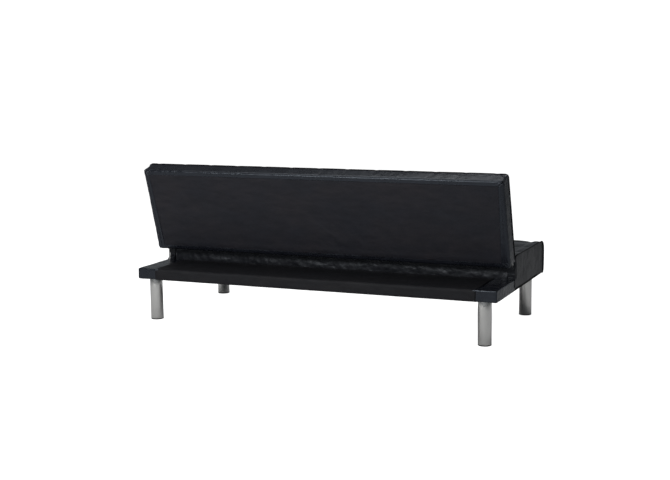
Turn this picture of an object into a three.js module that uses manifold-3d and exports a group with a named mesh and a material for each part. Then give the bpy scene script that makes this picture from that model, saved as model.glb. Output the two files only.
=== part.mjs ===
// Click-clack futon sofa bed with a padded seat on a low platform, a padded
// backrest that folds flat, and four round metal legs.
//
// Units are millimetres, +Z is up. The sofa faces -Y, its back is at +Y and
// +X is its left-hand side as seen by somebody standing behind it. The origin
// is on the floor, in the middle of the footprint.

import * as THREE from 'three';
import { mergeVertices } from 'three/addons/utils/BufferGeometryUtils.js';
import Module from 'manifold-3d';

const wasm = await Module();
wasm.setup();

// ---------------------------------------------------------------- dimensions
const GAP = 0.3;                 // clearance between pieces that touch

// legs
const LEG_R = 30;                // outer radius of the leg tube
const LEG_WALL = 2;
const LEG_X = 818;               // leg axis, left and right
const LEG_Y_REAR = 346.7;
const LEG_Y_FRONT = -339.3;
const LEG_H = 200;               // floor to the underside of the platform
const CAP_T = 5;                 // rim of the foot cap that stands on the floor
const STUD_R = 4;                // M8 hanger stud

// platform
const BASE_X = 886;              // half length over the fabric
const BASE_REAR = 396.7;         // rear face over the fabric
const BASE_FRONT = -389.2;       // front face of the timber frame
const BASE_BOTTOM = 200;
const BASE_TOP = 250;            // top of the shelf over the fabric
const RAIL_W = 34;
const RAIL_Z0 = 202;
const RAIL_Z1 = 240;
const DECK_T = 8;
const SKIN = 1.5;                // upholstery fabric on the platform
const WRAP_W = 102;              // leather wrap at each end of the shelf
const BLOCK = 88;                // corner block that takes a leg stud

// seat
const SEAT_X = 888.6;            // half length over the cover
const SEAT_FRONT = -392.1;
const SEAT_REAR = 109;
const SEAT_TOP = 358.4;
const SEAT_R = 36;               // rounding where the top rolls over the front
const SKIRT_Z = 212;             // bottom edge of the cover at the ends
const FRONT_Z = 201;             // bottom edge of the cover at the front
const WELT_OUT = 1.4;            // seat piping axis outside the faces
const COVER_T = 2;
const WELT_R = 3.2;              // piping
const WELT_C = 7;                // chamfer that the piping lies in
const SEAT_RAIL_T = 25;
const SEAT_RAIL_H = 60;

// backrest, in its own frame: d from the front face to the rear panel,
// s from the bottom edge to the top edge
const TILT = THREE.MathUtils.degToRad(17);
const BACK_X = 890;
const BACK_D = 80;
const BACK_H = 421;
const BACK_Y0 = 118.1;           // front bottom edge when upright
const BACK_Z0 = 336.1;
const HEM = 27;                  // cover folded over the rear panel's edge
const FRAME_D0 = 38;             // timber frame, front and rear faces
const FRAME_D1 = 76;
const STILE_W = 26;

// click-clack hinge
const FLAT_Y0 = 119.5;           // where the front bottom edge lies when flat
const FLAT_Z0 = 362;
const ARM_X0 = 867.5, ARM_X1 = 871.5;        // moving arm
const DISC_X0 = 871.8, DISC_X1 = 874.8;      // toothed detent disc
const BRACKET_X0 = 875.1, BRACKET_X1 = 880.1; // fixed bracket
const PIN_R = 5;
const BOSS_R = 11;
const ARM_BOSS_R = 10.5;

// The pivot is the one point that carries the front bottom edge from its
// upright place to its flat place in a turn of (90 deg - TILT).
const FOLD = Math.PI / 2 - TILT;
const cF = Math.cos(FOLD), sF = Math.sin(FOLD);
const rotFB = [cF * BACK_Y0 + sF * BACK_Z0, -sF * BACK_Y0 + cF * BACK_Z0];
const dx = FLAT_Y0 - rotFB[0], dz = FLAT_Z0 - rotFB[1];
const det = (1 - cF) ** 2 + sF ** 2;
const PIVOT_Y = ((1 - cF) * dx + sF * dz) / det;
const PIVOT_Z = (-sF * dx + (1 - cF) * dz) / det;
// the same point in the backrest's own frame
const PIVOT_D = (PIVOT_Y - BACK_Y0) * Math.cos(TILT) - (PIVOT_Z - BACK_Z0) * Math.sin(TILT);
const PIVOT_S = (PIVOT_Y - BACK_Y0) * Math.sin(TILT) + (PIVOT_Z - BACK_Z0) * Math.cos(TILT);

// ----------------------------------------------------------------- materials
const mat = (color, roughness, metalness) =>
  new THREE.MeshStandardMaterial({ color, roughness, metalness });
const leather = () => mat(0x17181c, 0.42, 0.0);
const cloth = () => mat(0x1b1a1d, 0.9, 0.0);
const pine = () => mat(0xb58f62, 0.75, 0.0);
const ply = () => mat(0xa98558, 0.8, 0.0);
const foamMat = () => mat(0xd9d2ba, 0.95, 0.0);
const chrome = () => mat(0xb9b9b6, 0.22, 1.0);
const steel = () => mat(0x9a9b9d, 0.4, 1.0);
const plastic = () => mat(0x111112, 0.55, 0.0);

// ------------------------------------------------------------------- helpers
const root = new THREE.Group();

function add(parent, name, geometry, material, x = 0, y = 0, z = 0) {
  const m = new THREE.Mesh(geometry, material);
  m.name = name;
  m.position.set(x, y, z);
  parent.add(m);
  return m;
}

// axis-aligned box between two corners
function box(x0, x1, y0, y1, z0, z1) {
  const g = new THREE.BoxGeometry(x1 - x0, y1 - y0, z1 - z0);
  g.translate((x0 + x1) / 2, (y0 + y1) / 2, (z0 + z1) / 2);
  return g;
}

// cylinder along +X, +Y or +Z
function rod(r, a, b, axis = 'z', n = 24) {
  const g = new THREE.CylinderGeometry(r, r, b - a, n, 1);
  if (axis === 'z') g.rotateX(Math.PI / 2);
  if (axis === 'x') g.rotateZ(-Math.PI / 2);
  const mid = (a + b) / 2;
  g.translate(axis === 'x' ? mid : 0, axis === 'y' ? mid : 0, axis === 'z' ? mid : 0);
  return g;
}

// hexagonal bolt head on a round shank, along +X from x0 (head) inwards
function boltX(dir, headR, headT, shankR, shankL) {
  const pts = [
    new THREE.Vector2(0, 0), new THREE.Vector2(shankR, 0),
    new THREE.Vector2(shankR, shankL), new THREE.Vector2(headR, shankL),
    new THREE.Vector2(headR, shankL + headT * 0.7),
    new THREE.Vector2(headR * 0.72, shankL + headT), new THREE.Vector2(0, shankL + headT),
  ];
  const g = new THREE.LatheGeometry(pts, 12);
  g.rotateZ(dir > 0 ? -Math.PI / 2 : Math.PI / 2);
  return g;
}

function toManifold(geometry) {
  let g = geometry.clone();
  g.deleteAttribute('normal');
  g.deleteAttribute('uv');
  g = mergeVertices(g, 1e-4);
  return new wasm.Manifold(new wasm.Mesh({
    numProp: 3,
    vertProperties: new Float32Array(g.attributes.position.array),
    triVerts: new Uint32Array(g.index.array),
  }));
}

function fromManifold(solid) {
  const m = solid.getMesh();
  const n = m.numProp;
  const count = m.vertProperties.length / n;
  const pos = new Float32Array(count * 3);
  for (let i = 0; i < count; i++) {
    for (let k = 0; k < 3; k++) pos[i * 3 + k] = m.vertProperties[i * n + k];
  }
  const g = new THREE.BufferGeometry();
  g.setAttribute('position', new THREE.BufferAttribute(pos, 3));
  g.setIndex(new THREE.BufferAttribute(new Uint32Array(m.triVerts), 1));
  g.computeVertexNormals();
  return g;
}

function cut(geometry, ...tools) {
  let s = toManifold(geometry);
  for (const t of tools) s = s.subtract(toManifold(t));
  return fromManifold(s);
}

function join(...parts) {
  let s = toManifold(parts[0]);
  for (const p of parts.slice(1)) s = s.add(toManifold(p));
  return fromManifold(s);
}

// closed outline in the (u, v) plane, extruded along w
function extrude(points, depth) {
  const shape = new THREE.Shape(points.map(([u, v]) => new THREE.Vector2(u, v)));
  return new THREE.ExtrudeGeometry(shape, { depth, bevelEnabled: false, steps: 1 });
}

// outline in (y, z), extruded from x0 to x1
function plateX(points, x0, x1) {
  const g = extrude(points, x1 - x0);           // u, v, w
  const m = new THREE.Matrix4().set(
    0, 0, 1, x0,
    1, 0, 0, 0,
    0, 1, 0, 0,
    0, 0, 0, 1);
  g.applyMatrix4(m);
  return g;
}

// outline in (x, z), extruded from y0 to y1
function plateY(points, y0, y1) {
  const g = extrude(points, y1 - y0);
  const m = new THREE.Matrix4().set(
    1, 0, 0, 0,
    0, 0, -1, y1,
    0, 1, 0, 0,
    0, 0, 0, 1);
  g.applyMatrix4(m);
  return g;
}

const arc = (cy, cz, r, a0, a1, n) => Array.from({ length: n + 1 }, (_, i) => {
  const a = a0 + (a1 - a0) * i / n;
  return [cy + r * Math.cos(a), cz + r * Math.sin(a)];
});

// box whose edges in the given planes are chamfered: 'xz' outline with chamfers
// intersected with a 'yz' outline with chamfers
function chamferedBox(x, y0, y1, z0, z1, top, front, rear) {
  const xz = [[-x, z0], [x, z0], [x, z1 - top], [x - top, z1], [-x + top, z1], [-x, z1 - top]];
  const yz = [[y0, z0], [y1, z0], [y1, z1 - rear], [y1 - rear, z1], [y0 + front, z1], [y0, z1 - front]];
  return fromManifold(toManifold(plateY(xz, y0 - 1, y1 + 1)).intersect(toManifold(plateX(yz, -x - 1, x + 1))));
}

// piping: an octagonal section swept along a path of corners with mitred
// joints. Each corner is [u, v, mu, mv]: its place in the plane and its mitre
// direction, at height w above the plane.
function weltPath(corners, w, r, closed, place) {
  const n = 8, m = corners.length;
  const pos = [], idx = [];
  for (const [u, v, mu, mv] of corners) {
    for (let k = 0; k < n; k++) {
      const a = (k + 0.5) / n * 2 * Math.PI;
      const o = r * Math.cos(a), h = r * Math.sin(a);
      pos.push(...place(u + mu * o, v + mv * o, w + h));
    }
  }
  for (let c = 0; c < (closed ? m : m - 1); c++) {
    for (let k = 0; k < n; k++) {
      const a = c * n + k, b = c * n + (k + 1) % n;
      const a2 = ((c + 1) % m) * n + k, b2 = ((c + 1) % m) * n + (k + 1) % n;
      idx.push(a, a2, b2, a, b2, b);
    }
  }
  if (!closed) {
    for (let k = 1; k < n - 1; k++) {
      idx.push(0, k, k + 1);
      const e = (m - 1) * n;
      idx.push(e, e + k + 1, e + k);
    }
  }
  const g = new THREE.BufferGeometry();
  g.setAttribute('position', new THREE.BufferAttribute(new Float32Array(pos), 3));
  let vol = 0;                                          // faces must point outwards
  const P = (i) => new THREE.Vector3().fromArray(pos, i * 3);
  for (let i = 0; i < idx.length; i += 3) vol += P(idx[i]).dot(P(idx[i + 1]).cross(P(idx[i + 2])));
  if (vol < 0) {
    for (let i = 0; i < idx.length; i += 3) { const t = idx[i + 1]; idx[i + 1] = idx[i + 2]; idx[i + 2] = t; }
  }
  g.setIndex(idx);
  g.computeVertexNormals();
  return g;
}

// --------------------------------------------------------------------- legs
// The tube is closed at the top by a welded disc with a threaded hole for the
// stud, and open at the bottom, where the foot cap plugs in.
function legTube() {
  const zc = CAP_T + GAP, zt = LEG_H - GAP;
  const pts = [
    [STUD_R + GAP, zt], [STUD_R + GAP, zt - 4], [LEG_R - LEG_WALL, zt - 4],
    [LEG_R - LEG_WALL, zc], [LEG_R, zc], [LEG_R, zt - 1], [LEG_R - 1, zt], [STUD_R + GAP, zt],
  ].map(([r, z]) => new THREE.Vector2(r, z));
  const g = new THREE.LatheGeometry(pts, 36);
  g.rotateX(Math.PI / 2);
  return g;
}
function footCap() {
  const ri = LEG_R - LEG_WALL - GAP;
  const pts = [[0, 0], [LEG_R - 1.5, 0], [LEG_R, 1.2], [LEG_R, CAP_T], [ri, CAP_T], [ri, CAP_T + 14], [ri - 2.5, CAP_T + 16],
    [ri - 2.5, CAP_T + 2], [0, CAP_T + 2]].map(([r, z]) => new THREE.Vector2(r, z));
  const g = new THREE.LatheGeometry(pts, 36);
  g.rotateX(Math.PI / 2);
  return g;
}
for (const [side, sx] of [['left', 1], ['right', -1]]) {
  for (const [end, y] of [['rear', LEG_Y_REAR], ['front', LEG_Y_FRONT]]) {
    add(root, `leg_${end}_${side}`, legTube(), chrome(), sx * LEG_X, y, 0);
    add(root, `foot_cap_${end}_${side}`, footCap(), plastic(), sx * LEG_X, y, 0);
    add(root, `leg_stud_${end}_${side}`, rod(STUD_R, LEG_H - 20, RAIL_Z1 - 4, 'z', 16), steel(), sx * LEG_X, y, 0);
  }
}

// ------------------------------------------------------------ platform frame
const rearY1 = BASE_REAR - SKIN - GAP;                 // outside of the rear rail
const frontY0 = BASE_FRONT;
const railX = BASE_X - SKIN - GAP;                     // outside of the end rails
add(root, 'base_rail_rear', box(-railX, railX, rearY1 - RAIL_W, rearY1, RAIL_Z0, RAIL_Z1), pine());
add(root, 'base_rail_front', box(-railX, railX, frontY0, frontY0 + RAIL_W, RAIL_Z0, RAIL_Z1), pine());
const endY0 = frontY0 + RAIL_W + GAP, endY1 = rearY1 - RAIL_W - GAP;
add(root, 'base_rail_left', box(railX - RAIL_W, railX, endY0, endY1, RAIL_Z0, RAIL_Z1), pine());
add(root, 'base_rail_right', box(-railX, -railX + RAIL_W, endY0, endY1, RAIL_Z0, RAIL_Z1), pine());
add(root, 'base_cross_rail_left', box(270, 270 + RAIL_W, endY0, endY1, RAIL_Z0, RAIL_Z1), pine());
add(root, 'base_cross_rail_right', box(-270 - RAIL_W, -270, endY0, endY1, RAIL_Z0, RAIL_Z1), pine());

for (const [side, sx] of [['left', 1], ['right', -1]]) {
  const xa = railX - RAIL_W - GAP - BLOCK, xb = railX - RAIL_W - GAP;
  for (const [end, ya, yb, yl] of [['rear', endY1 - BLOCK, endY1, LEG_Y_REAR], ['front', endY0, endY0 + BLOCK, LEG_Y_FRONT]]) {
    const hole = rod(STUD_R + GAP, RAIL_Z0 - 5, RAIL_Z1 + 5, 'z', 16);
    hole.translate(sx * LEG_X, yl, 0);
    const b = sx > 0 ? box(xa, xb, ya, yb, RAIL_Z0, RAIL_Z1 - GAP) : box(-xb, -xa, ya, yb, RAIL_Z0, RAIL_Z1 - GAP);
    add(root, `corner_block_${end}_${side}`, cut(b, hole), pine());
  }
}

const deckZ0 = RAIL_Z1 + GAP, deckZ1 = deckZ0 + DECK_T;
add(root, 'base_deck', box(-railX, railX, frontY0, rearY1, deckZ0, deckZ1), ply());

// dust sheet stapled under the frame, pierced by the four studs
const dustHoles = [];
for (const sx of [1, -1]) for (const y of [LEG_Y_REAR, LEG_Y_FRONT]) {
  const h = rod(STUD_R + GAP, BASE_BOTTOM - 5, BASE_BOTTOM + 5, 'z', 16);
  h.translate(sx * LEG_X, y, 0);
  dustHoles.push(h);
}
add(root, 'base_dust_sheet', cut(box(-847, 847, frontY0 + 3, rearY1 - 40, BASE_BOTTOM + 0.1, BASE_BOTTOM + 1.4), ...dustHoles), cloth());

// fabric over the shelf: top, rear face and a return under the rear rail
const shelfY0 = SEAT_REAR + 1;
function shelfSkin(x0, x1) {
  const o = [
    [shelfY0, BASE_TOP], [shelfY0, BASE_TOP - 1.2], [rearY1 + GAP, BASE_TOP - 1.2],
    [rearY1 + GAP, BASE_BOTTOM + SKIN], [rearY1 - RAIL_W, BASE_BOTTOM + SKIN], [rearY1 - RAIL_W, BASE_BOTTOM],
    [BASE_REAR - 0.8, BASE_BOTTOM], [BASE_REAR, BASE_BOTTOM + 0.8], [BASE_REAR, BASE_TOP - 2],
    [BASE_REAR - 2, BASE_TOP],
  ];
  return plateX(o.slice().reverse(), x0, x1);
}
add(root, 'shelf_fabric', shelfSkin(-(BASE_X - WRAP_W) + GAP, BASE_X - WRAP_W - GAP), cloth());

for (const [side, sx] of [['left', 1], ['right', -1]]) {
  const x0 = BASE_X - WRAP_W, x1 = BASE_X;
  const wrap = join(
    sx > 0 ? shelfSkin(x0, x1 - 1) : shelfSkin(-x1 + 1, -x0),
    sx > 0 ? box(railX + GAP, x1, shelfY0, BASE_REAR - 1, BASE_BOTTOM, BASE_TOP - 0.5)
      : box(-x1, -railX - GAP, shelfY0, BASE_REAR - 1, BASE_BOTTOM, BASE_TOP - 0.5));
  add(root, `shelf_end_wrap_${side}`, wrap, leather());
}

// --------------------------------------------------------------------- seat
const seatZ0 = BASE_TOP + GAP;
const bracketY1 = SEAT_REAR + 5;                        // rear edge of the bracket
const srX = BRACKET_X0 - GAP;                                     // outside of the seat's end rails
const srY0 = SEAT_FRONT + 22, srY1 = SEAT_REAR - COVER_T - GAP;
add(root, 'seat_rail_front', box(-srX, srX, srY0, srY0 + SEAT_RAIL_T, deckZ1 + GAP, deckZ1 + SEAT_RAIL_H), pine());
add(root, 'seat_rail_rear', box(-srX + SEAT_RAIL_T + GAP, srX - SEAT_RAIL_T - GAP, srY1 - SEAT_RAIL_T, srY1, deckZ1 + GAP, deckZ1 + SEAT_RAIL_H), pine());

const boltR = 3, boltHead = 6.5;
const seatBoltPts = [[62, 285], [62, 268]];
for (const [side, sx] of [['left', 1], ['right', -1]]) {
  const holes = seatBoltPts.map(([y, z]) => {
    const h = rod(boltR + GAP, srX - 15, srX + 5, 'x', 12);
    h.translate(0, y, z);
    if (sx < 0) h.translate(-2 * srX + 10, 0, 0);
    return h;
  });
  const b = sx > 0 ? box(srX - SEAT_RAIL_T, srX, srY0 + SEAT_RAIL_T + GAP, srY1, deckZ1 + GAP, deckZ1 + SEAT_RAIL_H)
    : box(-srX, -srX + SEAT_RAIL_T, srY0 + SEAT_RAIL_T + GAP, srY1, deckZ1 + GAP, deckZ1 + SEAT_RAIL_H);
  add(root, `seat_rail_${side}`, cut(b, ...holes), pine());
}

// foam pad on the seat frame
const foamZ0 = deckZ1 + SEAT_RAIL_H + GAP;
add(root, 'seat_foam', plateX(ccw(seatProfile(COVER_T + GAP, foamZ0)), -(srX - 0.6), srX - 0.6), foamMat());

// cover: top, four sides and a skirt that hangs over the platform's sides,
// open underneath; the rear wall stops on the shelf
const slotTop = 326;
{
  let shell = toManifold(plateX(ccw(seatProfile(0, FRONT_Z)), -SEAT_X, SEAT_X));
  const xin = SEAT_X - COVER_T;
  shell = shell.subtract(toManifold(plateX(ccw(seatProfile(COVER_T, FRONT_Z - 10)), -xin, xin)));
  shell = shell.subtract(toManifold(box(-xin, xin, SEAT_REAR - 20, SEAT_REAR + 5, FRONT_Z - 5, BASE_TOP + GAP)));
  for (const sx of [1, -1]) {
    // the ends stop higher than the front
    const [a, b] = sx > 0 ? [xin - 0.5, SEAT_X + 5] : [-SEAT_X - 5, -xin + 0.5];
    shell = shell.subtract(toManifold(box(a, b, SEAT_FRONT + 30, SEAT_REAR + 5, FRONT_Z - 5, SKIRT_Z)));
    const [c, d] = sx > 0 ? [BRACKET_X0 - 0.6, BRACKET_X1 + 0.8] : [-BRACKET_X1 - 0.8, -BRACKET_X0 + 0.6];
    shell = shell.subtract(toManifold(box(c, d, SEAT_REAR - 5, SEAT_REAR + 5, BASE_TOP, slotTop)));
    shell = shell.subtract(toManifold(seatWelt(sx, WELT_R + GAP, 3)));
  }
  add(root, 'seat_cover', fromManifold(shell), leather());
}
add(root, 'seat_piping_left', seatWelt(1, WELT_R, 0), leather());
add(root, 'seat_piping_right', seatWelt(-1, WELT_R, 0), leather());
const weltIn = 1.02;                                    // backrest piping axis inside the faces

// side profile of the seat in (y, z), moved inwards by t, closed at height zb
function seatProfile(t, zb) {
  const r = SEAT_R - t, cy = SEAT_FRONT + SEAT_R, cz = SEAT_TOP - SEAT_R;
  return [[SEAT_REAR - t, zb], [SEAT_REAR - t, SEAT_TOP - t], ...arc(cy, cz, r, Math.PI / 2, Math.PI, 6), [SEAT_FRONT + t, zb]];
}
// piping along one end: over the top edge and down the front edge
function seatWelt(sx, r, extra) {
  const o = WELT_OUT, R = SEAT_R + o, cy = SEAT_FRONT + SEAT_R, cz = SEAT_TOP - SEAT_R, n = 6;
  const pts = [[SEAT_REAR - 3 + extra, SEAT_TOP + o, 0, 1]];
  for (let i = 0; i <= n; i++) {
    const a = Math.PI / 2 * (1 + i / n);
    pts.push([cy + R * Math.cos(a), cz + R * Math.sin(a), Math.cos(a), Math.sin(a)]);
  }
  pts.push([SEAT_FRONT - o, FRONT_Z + 4 - extra, -1, 0]);
  return weltPath(pts, sx * (SEAT_X + o), r, false, (u, v, w) => [w, u, v]);
}

// ----------------------------------------------------------------- backrest
const back = new THREE.Group();
back.position.set(0, BACK_Y0, BACK_Z0);
back.rotation.x = -TILT;
root.add(back);

const fs0 = 14, fs1 = BACK_H - 12;                      // frame, bottom and top
const stX = ARM_X0 - GAP;                               // outside of the stiles
add(back, 'back_rail_top', box(-stX + STILE_W + GAP, stX - STILE_W - GAP, FRAME_D0, FRAME_D1, fs1 - 40, fs1), pine());
add(back, 'back_rail_bottom', box(-stX + STILE_W + GAP, stX - STILE_W - GAP, FRAME_D0, FRAME_D1, fs0, fs0 + 40), pine());
add(back, 'back_stile_centre', box(-20, 20, FRAME_D0, FRAME_D1, fs0 + 40 + GAP, fs1 - 40 - GAP), pine());
const backBoltPts = [[56, 78], [56, 138]];
for (const [side, sx] of [['left', 1], ['right', -1]]) {
  const holes = backBoltPts.map(([d, s]) => {
    const h = rod(boltR + GAP, stX - 16, stX + 5, 'x', 12);
    h.translate(sx > 0 ? 0 : -2 * stX + 11, d, s);
    return h;
  });
  const b = sx > 0 ? box(stX - STILE_W, stX, FRAME_D0, FRAME_D1, fs0, fs1) : box(-stX, -stX + STILE_W, FRAME_D0, FRAME_D1, fs0, fs1);
  add(back, `back_stile_${side}`, cut(b, ...holes), pine());
}

// foam pad in front of the frame, notched at its lower corners for the hinges
{
  const x = BACK_X - COVER_T - GAP, xi = stX - GAP - 1, n = 168;
  const outer = toManifold(plateY([[-xi, -5], [xi, -5], [xi, n], [x + 5, n], [x + 5, BACK_H + 5], [-x - 5, BACK_H + 5], [-x - 5, n], [-xi, n]],
    -5, FRAME_D0 - GAP));
  add(back, 'back_foam', fromManifold(outer.intersect(backRoom(x, COVER_T + GAP, FRAME_D0 + 20, WELT_C - 0.8))), foamMat());
}

// cover: front, four sides and a hem folded over the rear panel
{
  const xs = [[-BACK_X, 0], [BACK_X, 0], [BACK_X, BACK_H], [-BACK_X, BACK_H]];
  let shell = toManifold(plateY(xs, 0, BACK_D));
  // chamfers around the front face, for the piping
  const c = WELT_C, e = 5;
  const front = [
    plateX([[-e, -e], [c + e, -e], [-e, c + e]], -BACK_X - 5, BACK_X + 5),
    plateX([[-e, BACK_H + e], [-e, BACK_H - c - e], [c + e, BACK_H + e]], -BACK_X - 5, BACK_X + 5),
  ];
  for (const f of front) shell = shell.subtract(toManifold(f));
  for (const sx of [1, -1]) {
    const tri = [[sx * (BACK_X + e), -e], [sx * (BACK_X + e), c + e], [sx * (BACK_X - c - e), -e]];
    // outline in (x, d) extruded along s
    const shape = extrude(sx > 0 ? tri : tri.slice().reverse(), BACK_H + 10);
    shape.translate(0, 0, -5);
    shell = shell.subtract(toManifold(shape));
  }
  shell = shell.subtract(backRoom(BACK_X - COVER_T, COVER_T, BACK_D - 1.6, WELT_C - 1));
  const window_ = box(-(BACK_X - HEM), BACK_X - HEM, BACK_D - 5, BACK_D + 5, 8, BACK_H - HEM);
  shell = shell.subtract(toManifold(window_));
  for (const sx of [1, -1]) {
    const xa = BRACKET_X0 - 0.8, xb = BRACKET_X1 + 0.9;
    const x0 = sx > 0 ? xa : -xb, x1 = sx > 0 ? xb : -xa;
    shell = shell.subtract(toManifold(box(x0, x1, -5, 68, -5, COVER_T + 3)));
    shell = shell.subtract(toManifold(box(x0, x1, -5, 9, -5, 14)));
  }
  add(back, 'back_cover', fromManifold(shell), leather());
}
// the room inside the cover: its front edges are chamfered behind the piping
function backRoom(x, t, d1, c) {
  const xs = plateY([[-x, t], [x, t], [x, BACK_H - t], [-x, BACK_H - t]], t, d1);
  const yz = plateX([[t, t + c], [t + c, t], [d1, t], [d1, BACK_H - t], [t + c, BACK_H - t], [t, BACK_H - t - c]], -x - 1, x + 1);
  const xd = extrude([[-x + c, t], [x - c, t], [x, t + c], [x, d1], [-x, d1], [-x, t + c]], BACK_H + 10);
  xd.translate(0, 0, -5);
  return toManifold(xs).intersect(toManifold(yz)).intersect(toManifold(xd));
}
add(back, 'back_panel', box(-(BACK_X - HEM) + GAP, BACK_X - HEM - GAP, BACK_D - 1.6, BACK_D - 0.4, 8 + GAP, BACK_H - HEM - GAP), cloth());
{
  // up both sides and across the top of the front face
  const x = BACK_X - weltIn, s0 = 22, s1 = BACK_H - weltIn;
  add(back, 'back_piping', weltPath([[-x, s0, -1, 0], [-x, s1, -1, 1], [x, s1, 1, 1], [x, s0, 1, 0]],
    weltIn, WELT_R, false, (u, v, w) => [u, w, v]), leather());
}

// ------------------------------------------------------------------- hinges
const neck = (() => {
  // direction of the fixed bracket's neck, from the pivot down to the seat
  const a = THREE.MathUtils.degToRad(240);
  return { u: [Math.cos(a), Math.sin(a)], n: [-Math.sin(a), Math.cos(a)] };
})();
const NECK_W = 8;
function bracketOutline() {
  const P = [PIVOT_Y, PIVOT_Z];
  const at = (t, w) => [P[0] + neck.u[0] * t + neck.n[0] * w, P[1] + neck.u[1] * t + neck.n[1] * w];
  // boss arc around the pivot, from one side of the neck to the other
  const aN = Math.atan2(neck.n[1], neck.n[0]);
  const half = Math.asin(NECK_W / BOSS_R);
  const a0 = Math.atan2(-neck.u[1], -neck.u[0]);       // away from the neck
  const sweep = Math.PI - half;
  const boss = arc(P[0], P[1], BOSS_R, a0 - sweep, a0 + sweep, 18);
  // boss starts on one side of the neck and ends on the other
  const out = [...boss];
  // the last boss point is on the +/- side; close through the plate below
  const last = out[out.length - 1], first = out[0];
  const lower = first[0] > last[0]
    ? [[SEAT_REAR - 3, 306], [50, 306], [50, deckZ1 + 3], [bracketY1, deckZ1 + 3], [bracketY1, 298]]
    : [[bracketY1, 298], [bracketY1, deckZ1 + 3], [50, deckZ1 + 3], [50, 306], [SEAT_REAR - 3, 306]];
  return [...out, ...lower];
}
function ccw(pts) {
  let a = 0;
  for (let i = 0; i < pts.length; i++) {
    const [x0, y0] = pts[i], [x1, y1] = pts[(i + 1) % pts.length];
    a += x0 * y1 - x1 * y0;
  }
  return a > 0 ? pts : pts.slice().reverse();
}
const outline = ccw(bracketOutline());

// moving arm, in the backrest's frame (d, s)
function armOutline() {
  const c = [PIVOT_D, PIVOT_S];
  const t = [56, 80];
  const dir = Math.atan2(t[1] - c[1], t[0] - c[0]);
  const boss = arc(c[0], c[1], ARM_BOSS_R, dir + Math.PI / 2, dir + 1.5 * Math.PI, 14);
  return ccw([...boss, [68, 62], [68, 152], [44, 152], [44, 86]]);
}

for (const [side, sx] of [['left', 1], ['right', -1]]) {
  const X = (a, b) => (sx > 0 ? [a, b] : [-b, -a]);
  // fixed bracket with a foot flange turned inwards behind the seat
  {
    const [x0, x1] = X(BRACKET_X0, BRACKET_X1);
    const plate = plateX(outline, x0, x1);
    const [f0, f1] = X(BRACKET_X0 - 13, BRACKET_X1);
    const flange = box(f0, f1, bracketY1 - 3, bracketY1, deckZ1 + 3, 283);
    const [h0, h1] = X(BRACKET_X0 - 5, BRACKET_X1 + 5);
    const hole = rod(PIN_R + GAP, h0, h1, 'x', 20);
    hole.translate(0, PIVOT_Y, PIVOT_Z);
    const bolts = seatBoltPts.map(([y, z]) => { const g = rod(boltR + GAP, h0, h1, 'x', 12); g.translate(0, y, z); return g; });
    add(root, `hinge_bracket_${side}`, cut(join(plate, flange), hole, ...bolts), steel());
  }
  // toothed detent disc, pressed on the bracket
  {
    const [x0, x1] = X(DISC_X0, DISC_X1);
    const n = 24, pts = [];
    for (let i = 0; i < n * 2; i++) {
      const r = i % 2 ? 9.4 : 10.6, a = i / (n * 2) * 2 * Math.PI;
      pts.push([PIVOT_Y + r * Math.cos(a), PIVOT_Z + r * Math.sin(a)]);
    }
    const hole = rod(PIN_R + GAP, x0 - 2, x1 + 2, 'x', 20);
    hole.translate(0, PIVOT_Y, PIVOT_Z);
    add(root, `hinge_detent_disc_${side}`, cut(plateX(pts, x0, x1), hole), steel());
  }
  // pivot pin, headed on the outside
  {
    const pts = [[0, ARM_X0 + 0.1], [PIN_R, ARM_X0 + 0.1], [PIN_R, BRACKET_X1 + GAP], [8.5, BRACKET_X1 + GAP], [8.5, BRACKET_X1 + 1.6], [6.5, BRACKET_X1 + 2.6], [0, BRACKET_X1 + 2.6]]
      .map(([r, x]) => new THREE.Vector2(r, x));
    const g = new THREE.LatheGeometry(pts, 20);
    g.rotateZ(sx > 0 ? -Math.PI / 2 : Math.PI / 2);
    add(root, `hinge_pin_${side}`, g, steel(), 0, PIVOT_Y, PIVOT_Z);
  }
  // moving arm, bolted to the backrest's stile
  {
    const [x0, x1] = X(ARM_X0, ARM_X1);
    const hole = rod(PIN_R + GAP, x0 - 3, x1 + 3, 'x', 20);
    hole.translate(0, PIVOT_D, PIVOT_S);
    const bolts = backBoltPts.map(([d, s]) => { const g = rod(boltR + GAP, x0 - 3, x1 + 3, 'x', 12); g.translate(0, d, s); return g; });
    add(back, `hinge_arm_${side}`, cut(plateX(armOutline(), x0, x1), hole, ...bolts), steel());
  }
  seatBoltPts.forEach(([y, z], i) => {
    const x = sx * (srX - 14);
    add(root, `bracket_bolt_${i + 1}_${side}`, boltX(sx, boltHead, 1.8, boltR, BRACKET_X1 + GAP - (srX - 14)), steel(), x, y, z);
  });
  backBoltPts.forEach(([d, s], i) => {
    const x = sx * (stX - 15);
    add(back, `arm_bolt_${i + 1}_${side}`, boltX(sx, boltHead, 3.2, boltR, ARM_X1 + GAP - (stX - 15)), steel(), x, d, s);
  });
}

export default root;
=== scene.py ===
import math

import bpy
import numpy as np
from mathutils import Matrix, Vector, noise


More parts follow.
